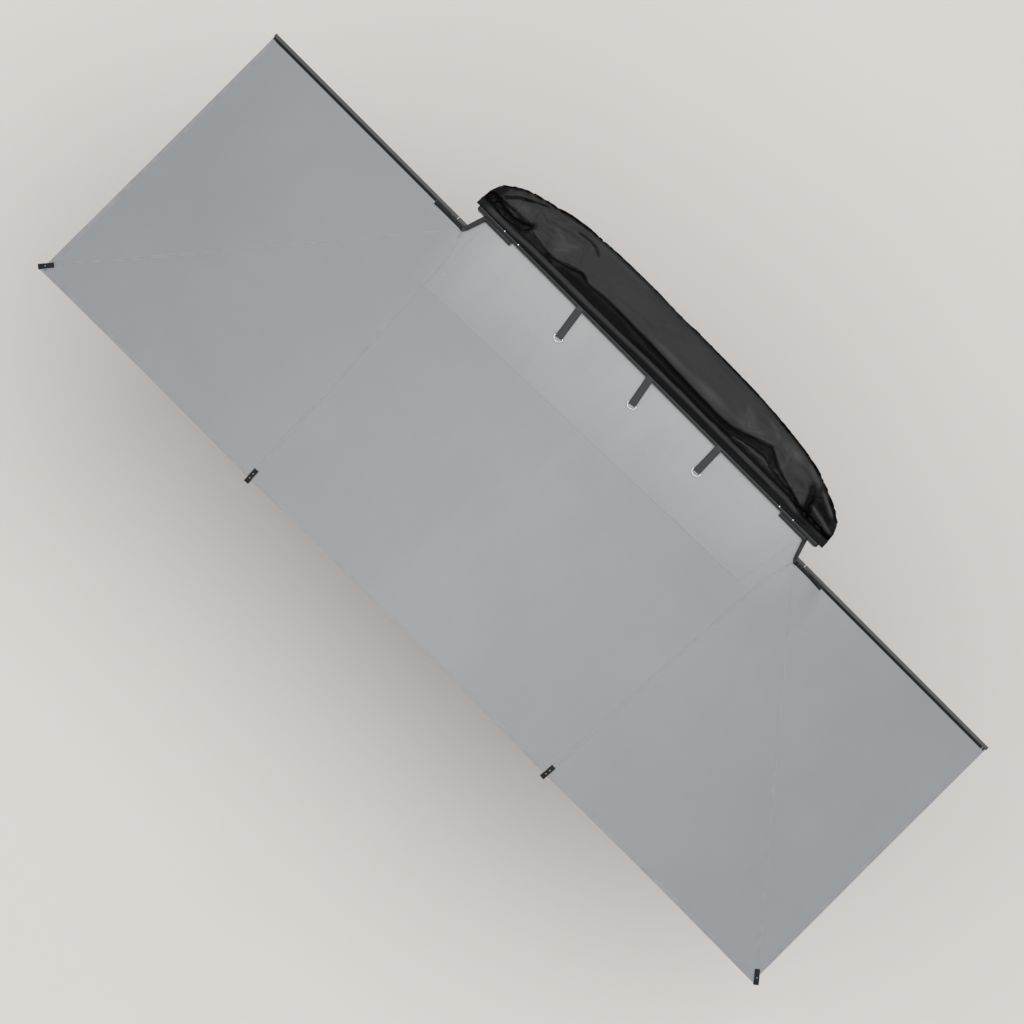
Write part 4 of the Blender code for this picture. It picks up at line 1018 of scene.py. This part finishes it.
def loft(name, stations, outline_at, count, material):
    points = []
    for x in stations:
        for y, z in resampled(outline_at(x), count, True):
            points.append((x, FRONT_Y + y, z))
    return mesh_piece(name, points, tube_faces(len(stations), count), material)


def block_mesh(name, low, high, material):
    points = [(x, y, z) for x in (low[0], high[0]) for y in (low[1], high[1]) for z in (low[2], high[2])]
    faces = [(0, 1, 3, 2), (4, 6, 7, 5), (0, 4, 5, 1), (2, 3, 7, 6), (0, 2, 6, 4), (1, 5, 7, 3)]
    return mesh_piece(name, points, faces, material, False)


def solid_for_cloth(piece):
    piece.modifiers.new("solid", "COLLISION")
    piece.collision.thickness_outer = 0.002
    piece.collision.thickness_inner = 0.004
    piece.collision.cloth_friction = 12
    return piece


# Settings of the cloth, and of how it meets itself and the solids
CLOTH_SETTINGS = {
    "quality": 6, "mass": 0.30, "air_damping": 2.0, "tension_stiffness": 60, "compression_stiffness": 60,
    "shear_stiffness": 30, "bending_stiffness": 6.0, "tension_damping": 10, "compression_damping": 10,
    "shear_damping": 10, "bending_damping": 2.0, "shrink_min": -COVER_GROW, "vertex_group_mass": "held",
    "pin_stiffness": 1.0,
}
MEETING_SETTINGS = {
    "distance_min": 0.002, "collision_quality": 3, "use_self_collision": True, "self_distance_min": 0.002,
}
# The cloth is held behind the rail's front, this far below its top, and less firmly at the far edge
HELD_BEHIND = 0.054
HELD_BELOW = 0.004
HELD_EDGE = 0.012
EDGE_HOLD = 0.85
CORE_SHORT = 0.075
CORE_SHRINK = 0.014
FLOOR_GAP = 0.0015


def settle_cover(bag):
    """Lets the loose sheet settle over its own folded middle and a level floor."""
    held = bag.vertex_groups.new(name="held")
    for i, vertex in enumerate(bag.data.vertices):
        behind, height = vertex.co.y - FRONT_Y, vertex.co.z
        if behind < HELD_BEHIND and height > RAIL_HIGH.z - HELD_BELOW:
            held.add([i], 1.0, "REPLACE")
        elif behind > cover_depth(vertex.co.x) - HELD_EDGE:
            held.add([i], EDGE_HOLD, "REPLACE")
    stations = np.linspace(-COVER_HALF + CORE_SHORT, COVER_HALF - CORE_SHORT, 60)
    grey = MATERIALS["zinc_steel"]
    floor = ((-2, FRONT_Y, COVER_FLOOR - 0.05), (2, 1, COVER_FLOOR - FLOOR_GAP))
    helpers = [
        loft("core", stations, lambda x: cover_loop(x, CORE_SHRINK)[5:-3], 40, grey),
        block_mesh("rail_stop", RAIL_LOW, RAIL_HIGH, grey),
        block_mesh("floor_stop", *floor, grey),
    ]
    for helper in helpers:
        solid_for_cloth(helper)
    modifier = bag.modifiers.new("cloth", "CLOTH")
    for holder, settings in (
        (modifier.settings, CLOTH_SETTINGS), (modifier.collision_settings, MEETING_SETTINGS),
    ):
        for key, value in settings.items():
            setattr(holder, key, value)
    modifier.point_cache.frame_start = 1
    modifier.point_cache.frame_end = COVER_FRAMES
    scene = bpy.context.scene
    for number in range(1, COVER_FRAMES + 1):
        scene.frame_set(number)
    shape = bpy.data.meshes.new_from_object(bag.evaluated_get(bpy.context.evaluated_depsgraph_get()))
    bag.modifiers.remove(modifier)
    scene.frame_set(1)
    for vertex, moved in zip(bag.data.vertices, shape.vertices):
        vertex.co = moved.co
    for helper in helpers:
        bpy.data.objects.remove(helper, do_unlink=True)


MIDDLE_CALM = 0.30
END_CALM = 0.50
END_HELD = 0.10
CALM_ENDS = (0.35, 0.35)
COVER_AROUND = 66
COVER_SHORT = 0.004


def make_cover():
    count = round(2 * COVER_HALF / COVER_CELL)
    stations = np.linspace(-COVER_HALF + COVER_SHORT, COVER_HALF - COVER_SHORT, count)
    bag = loft("cover_loose", stations, cover_loop, COVER_AROUND, MATERIALS["cover_sheet"])
    shape = (len(stations), COVER_AROUND, 3)
    drawn = np.array([vertex.co for vertex in bag.data.vertices]).reshape(shape)
    grid = drawn
    settle_cover(bag)
    settled = np.array([vertex.co for vertex in bag.data.vertices]).reshape(shape)
    loose = mix(MIDDLE_CALM, END_CALM, ramp(np.abs(drawn[..., :1]), *CALM_ENDS))
    loose = loose * smooth((COVER_HALF - np.abs(drawn[..., :1])) / END_HELD)
    grid = mix(drawn, settled, loose)
    bpy.data.objects.remove(bag, do_unlink=True)
    grid = creased(finer_grid(grid))
    points = grid.reshape(-1, 3)
    bag = mesh_piece("cover_bag", points, tube_faces(*grid.shape[:2]), MATERIALS["cover_sheet"])
    # Share of the vinyl's grey: dustiness with painted light, and painted shade where low
    share = dust_and_light_share(points)
    layer = bag.data.uv_layers.new(name="dust")
    for loop in bag.data.loops:
        layer.data[loop.index].uv = (share[loop.vertex_index], points[loop.vertex_index, 0])
    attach(bag, "root")
    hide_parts("cover")
    outermost = grid[np.arange(len(grid)), grid[..., 1].argmax(axis=1)]
    middle = outermost[CORD_SHORT:-CORD_SHORT] - (0, COVER_CORD * CORD_SUNK, -COVER_CORD)
    cord = wire("cover_cord", middle, COVER_CORD, HEM_CORD)
    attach(cord, "root")


# Straps and rings

STRAP_WIDTH = 0.040
STRAP_THICKNESS = 0.0018
STRAPS = {"left": (-0.485, 8.4, 0.177), "middle": (0.016, 10.4, 0.155), "right": (0.511, 1.3, 0.161)}
STRAP_ROOT = 0.012
STRAP_EDGE = 0.012
STRAP_DIP = 0.0012
STRAP_FOLD_BACK = 0.045
STRAP_CHAMFER = 0.0008
RING_WIRE = 0.0025
RING_HALF = 0.0255
RING_DEPTH = 0.024
GAP = 0.0003


def arc(centre, radius, start, end, count):
    angles = [math.radians(mix(start, end, i / count)) for i in range(count + 1)]
    return [(centre[0] + radius * math.cos(a), centre[1] + radius * math.sin(a)) for a in angles]


def strap_path(reach, bar_height):
    half = STRAP_THICKNESS / 2
    wrap = RING_WIRE + GAP + half
    top = RAIL_HIGH.z + GAP + half
    low, high, bar = bar_height - wrap, bar_height + wrap, reach - wrap
    upper = low + STRAP_THICKNESS + GAP
    return [
        (-STRAP_ROOT, top),
        (STRAP_EDGE * 0.4, top),
        (STRAP_EDGE, top - STRAP_DIP),
        (STRAP_EDGE * 2.5, upper + STRAP_DIP * 2 / 3),
        (bar - STRAP_FOLD_BACK, upper),
        (bar - STRAP_FOLD_BACK * 0.7, upper),
        (bar - STRAP_FOLD_BACK * 0.35, high - STRAP_DIP),
        *arc((bar, bar_height), wrap, 90, -90, 10),
        (bar - STRAP_FOLD_BACK * 0.5, low),
        (bar - STRAP_FOLD_BACK, low),
    ]


def make_strap(name):
    x, tilt, reach = STRAPS[name]
    bar_height = RAIL_EDGE.z + GAP + STRAP_THICKNESS + GAP + RING_WIRE
    turn = Matrix.Translation((x, FRONT_Y, 0)) @ Matrix.Rotation(math.radians(tilt), 4, "Z")
    path = resampled(strap_path(reach, bar_height), 70, False)
    half, thick = STRAP_WIDTH / 2, STRAP_THICKNESS / 2
    bevel = half - STRAP_CHAMFER
    outline = [(-half, 0), (-bevel, thick), (0, thick), (bevel, thick)]
    outline += [(half, 0), (bevel, -thick), (0, -thick), (-bevel, -thick)]
    points = []
    for (distance, height), normal in zip(path, across_line(path)):
        for across, lift in outline:
            place = Vector((across, -(distance + normal[0] * lift), height + normal[1] * lift))
            points.append(turn @ place)
    piece = strip(f"webbing_{name}", points, outline, path, MATERIALS["webbing"], "weave")
    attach(piece, "root")
    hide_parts(f"strap_{name}")
    make_ring(name, turn @ Matrix.Translation((0, -(reach - RING_WIRE - GAP - thick), bar_height)))


def wire(name, points, radius, material, closed=False):
    curve = bpy.data.curves.new(name, "CURVE")
    curve.dimensions = "3D"
    curve.bevel_depth = radius
    curve.bevel_resolution = 4
    curve.use_fill_caps = True
    spline = curve.splines.new("POLY")
    spline.points.add(len(points) - 1)
    for target, point in zip(spline.points, points):
        target.co = (*point, 1)
    spline.use_cyclic_u = closed
    curve.materials.append(material)
    return link(bpy.data.objects.new(name, curve))


def make_ring(name, place):
    bow = [(RING_HALF * math.cos(a), -RING_DEPTH * math.sin(a)) for a in np.linspace(0, math.pi, 33)]
    points = [(x, 0) for x in np.linspace(-0.8, 0.8, 9) * RING_HALF] + bow
    ring = wire(f"ring_{name}", [place @ Vector((x, y, 0)) for x, y in points], RING_WIRE,
                MATERIALS["bright_steel"], closed=True)
    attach(ring, "root")
    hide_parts(f"strap_ring_{name}")


# Small fasteners and trim


# Rings of a head from its base up, as shares of its radius and height
DOME_RINGS = ((1, 0), (0.85, 0.55), (0.5, 0.9))
DOME_STEPS = 20


def dome(name, place, head, body, material):
    """A round rivet or screw head that stands on a face."""
    radius, height = head
    angles = [math.tau * i / DOME_STEPS for i in range(DOME_STEPS)]
    points = [
        (radius * across * math.cos(angle), radius * across * math.sin(angle), height * up)
        for across, up in DOME_RINGS for angle in angles
    ]
    base, top = len(points), len(points) + 1
    upper = base - DOME_STEPS
    points += [(0, 0, 0), (0, 0, height)]
    faces = grid_faces(len(DOME_RINGS), DOME_STEPS, wrap=True)
    for j in range(DOME_STEPS):
        k = (j + 1) % DOME_STEPS
        faces += [(k, j, base), (upper + j, upper + k, top)]
    piece = mesh_piece(name, points, faces, MATERIALS[material])
    piece.data.transform(Matrix.Translation(place))
    piece.data.set_sharp_from_angle(angle=SHARP_TRIM)
    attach(piece, body)


# Heads as (radius, height)
RIVET_HEAD = (0.0042, 0.0016)
STRAP_SCREW_HEAD = (0.0038, 0.0014)
TIP_SCREW_HEAD = (0.0026, 0.0007)
RIVET_X = (0.936, 1.033)
TRACK_LIP_WIDTH = 0.0016
TRACK_LIP_SHORT = 0.001
TRACK_LIP_SUNK = 0.0002
TRACK_LIP_PROUD = 0.0005
BLOCK_ROUND = 0.3
TRACK_LIP_BEHIND = COVER_TRACK - 0.0026
COLLAR_FROM_PIN = 0.061
COLLAR_HALF = 0.0010
COLLAR_PROUD = 0.0005
STRAP_SCREWS = (0.128, 0.156, 0.184)
TIP_SCREWS = {"corner": (0.004,), "mid": (-0.014, 0.012)}


def make_rail_trim():
    for name, side in SIDES.items():
        for number, x in enumerate(RIVET_X, 1):
            place = (side * x, FRONT_Y + TRACK_LIP_BEHIND, RAIL_HIGH.z)
            dome(f"rail_rivet_{name}_{number}", place, RIVET_HEAD, "root", "bright_steel")
    y = FRONT_Y + TRACK_LIP_BEHIND
    low = (RAIL_LOW.x + TRACK_LIP_SHORT, y - TRACK_LIP_WIDTH / 2, RAIL_HIGH.z - TRACK_LIP_SUNK)
    high = (RAIL_HIGH.x - TRACK_LIP_SHORT, y + TRACK_LIP_WIDTH / 2, RAIL_HIGH.z + TRACK_LIP_PROUD)
    # The track's lip wears the paler coat: a painted highlight
    block_piece("track_lip", low, high, "coated_aluminium", "root", TRACK_LIP_HIGHLIGHT)


def block_piece(name, low, high, material, body, surface=None):
    """A small block with rounded edges."""
    piece = block_mesh(name, low, high, surface or MATERIALS[material])
    edge = piece.modifiers.new("rounded", "BEVEL")
    edge.width = BLOCK_ROUND * min(b - a for a, b in zip(low, high))
    edge.segments = 2
    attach(piece, body)


def make_hinge_trim():
    """The joint line across each side rafter, and the screws of its strap hinge and of the tips."""
    for name, side in SIDES.items():
        low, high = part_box(f"side_rafter_{name}")
        x = side * (PIN_X + COLLAR_FROM_PIN)
        start = (x - COLLAR_HALF, low.y + COLLAR_PROUD, high.z - COLLAR_PROUD)
        end = (x + COLLAR_HALF, high.y + COLLAR_PROUD, high.z + COLLAR_PROUD)
        block_piece(f"rafter_collar_{name}", start, end, "zinc_steel", f"side_arm_{name}")
        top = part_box(f"side_hinge_strap_{name}")[1].z
        for number, out in enumerate(STRAP_SCREWS, 1):
            place = (side * (PIN_X + out), PIN_Y, top)
            screw = f"strap_screw_{name}_{number}"
            dome(screw, place, STRAP_SCREW_HEAD, f"side_arm_{name}", "powder_coat")
        for kind, screws in TIP_SCREWS.items():
            low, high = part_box(f"{kind}_tip_{name}")
            middle = (low + high) / 2
            outward = (Vector((middle.x, middle.y, 0)) - Vector((side * PIN_X, PIN_Y, 0))).normalized()
            for number, along in enumerate(screws, 1):
                place = Vector((middle.x, middle.y, high.z)) + along * outward
                screw = f"{kind}_tip_screw_{name}_{number}"
                dome(screw, place, TIP_SCREW_HEAD, f"{kind}_arm_{name}", "zinc_steel")


# Stage, camera and lights

VIEW_CENTRE = Vector((-0.001, -1.0484, 0.065))
VIEW_WIDTH = 5.202
VIEW_DISTANCE = 12.0
VIEW_TURN = math.atan2(0.7077, 0.7065)
FLOOR_Z = -1.985
FLOOR_SIZE = 80
SENSOR = 36.0
LIGHT_SKY = 0.76
LIGHT_FADE = ((0.10, 0.22), (0.85, 1.0))
SEEN_FADE = ((0.0, 0.62), (0.9, 0.42))
LIGHTS = (("key", (1.5, 2.4, 7.0), 55, 1.35), ("fill", (-3.0, -2.0, 7.0), 75, 0.60))


def make_stage():
    bpy.ops.mesh.primitive_plane_add(size=FLOOR_SIZE, location=(0, 0, FLOOR_Z))
    floor = bpy.context.object
    floor.name = "floor"
    floor.data.materials.append(floor_surface())


def make_camera():
    data = bpy.data.cameras.new("camera")
    data.sensor_width = SENSOR
    data.lens = SENSOR * VIEW_DISTANCE / VIEW_WIDTH
    camera = link(bpy.data.objects.new("camera", data))
    camera.location = VIEW_CENTRE + Vector((0, 0, VIEW_DISTANCE))
    camera.rotation_euler = (0, 0, VIEW_TURN)
    bpy.context.scene.camera = camera


def make_lights():
    world = bpy.data.worlds.new("studio")
    world.use_nodes = True
    sky = Nodes(world.node_tree)
    place = sky.node("ShaderNodeTexCoord").outputs["Generated"]
    height = sky.node("ShaderNodeSeparateXYZ", place).outputs["Z"]

    def shade(strength, low, high):
        """A background that goes from one grey at the horizon to another overhead."""
        fade = sky.node("ShaderNodeValToRGB")
        for stop, (position, grey) in zip(fade.color_ramp.elements, (low, high)):
            stop.position, stop.color = position, (grey, grey, grey, 1)
        sky.join(height, fade.inputs["Fac"])
        background = sky.node("ShaderNodeBackground", numbers={"Strength": strength})
        sky.join(fade.outputs["Color"], background.inputs["Color"])
        return background.outputs["Background"]

    rays = sky.node("ShaderNodeLightPath").outputs
    seen = rays["Is Camera Ray"]
    for ray in ("Is Glossy Ray", "Is Transmission Ray"):
        seen = sky.math("MAXIMUM", seen, rays[ray])
    choice = sky.node("ShaderNodeMixShader")
    sky.join(seen, choice.inputs["Fac"])
    sky.join(shade(LIGHT_SKY, *LIGHT_FADE), choice.inputs[1])
    sky.join(shade(1.0, *SEEN_FADE), choice.inputs[2])
    sky.join(choice.outputs["Shader"], sky.tree.nodes["World Output"].inputs["Surface"])
    bpy.context.scene.world = world
    for name, place, width, power in LIGHTS:
        data = bpy.data.lights.new(name, "SUN")
        data.angle = math.radians(width)
        data.energy = power
        lamp = link(bpy.data.objects.new(name, data))
        lamp.location = place
        lamp.rotation_euler = (-Vector(place)).to_track_quat("-Z", "Y").to_euler()
    bpy.context.scene.view_settings.view_transform = "Standard"


make_camera()
make_stage()
make_lights()
dress_frame()
panels = make_canvas()
seams = make_seams()
make_cover()
for strap in STRAPS:
    make_strap(strap)
make_rail_trim()
make_hinge_trim()
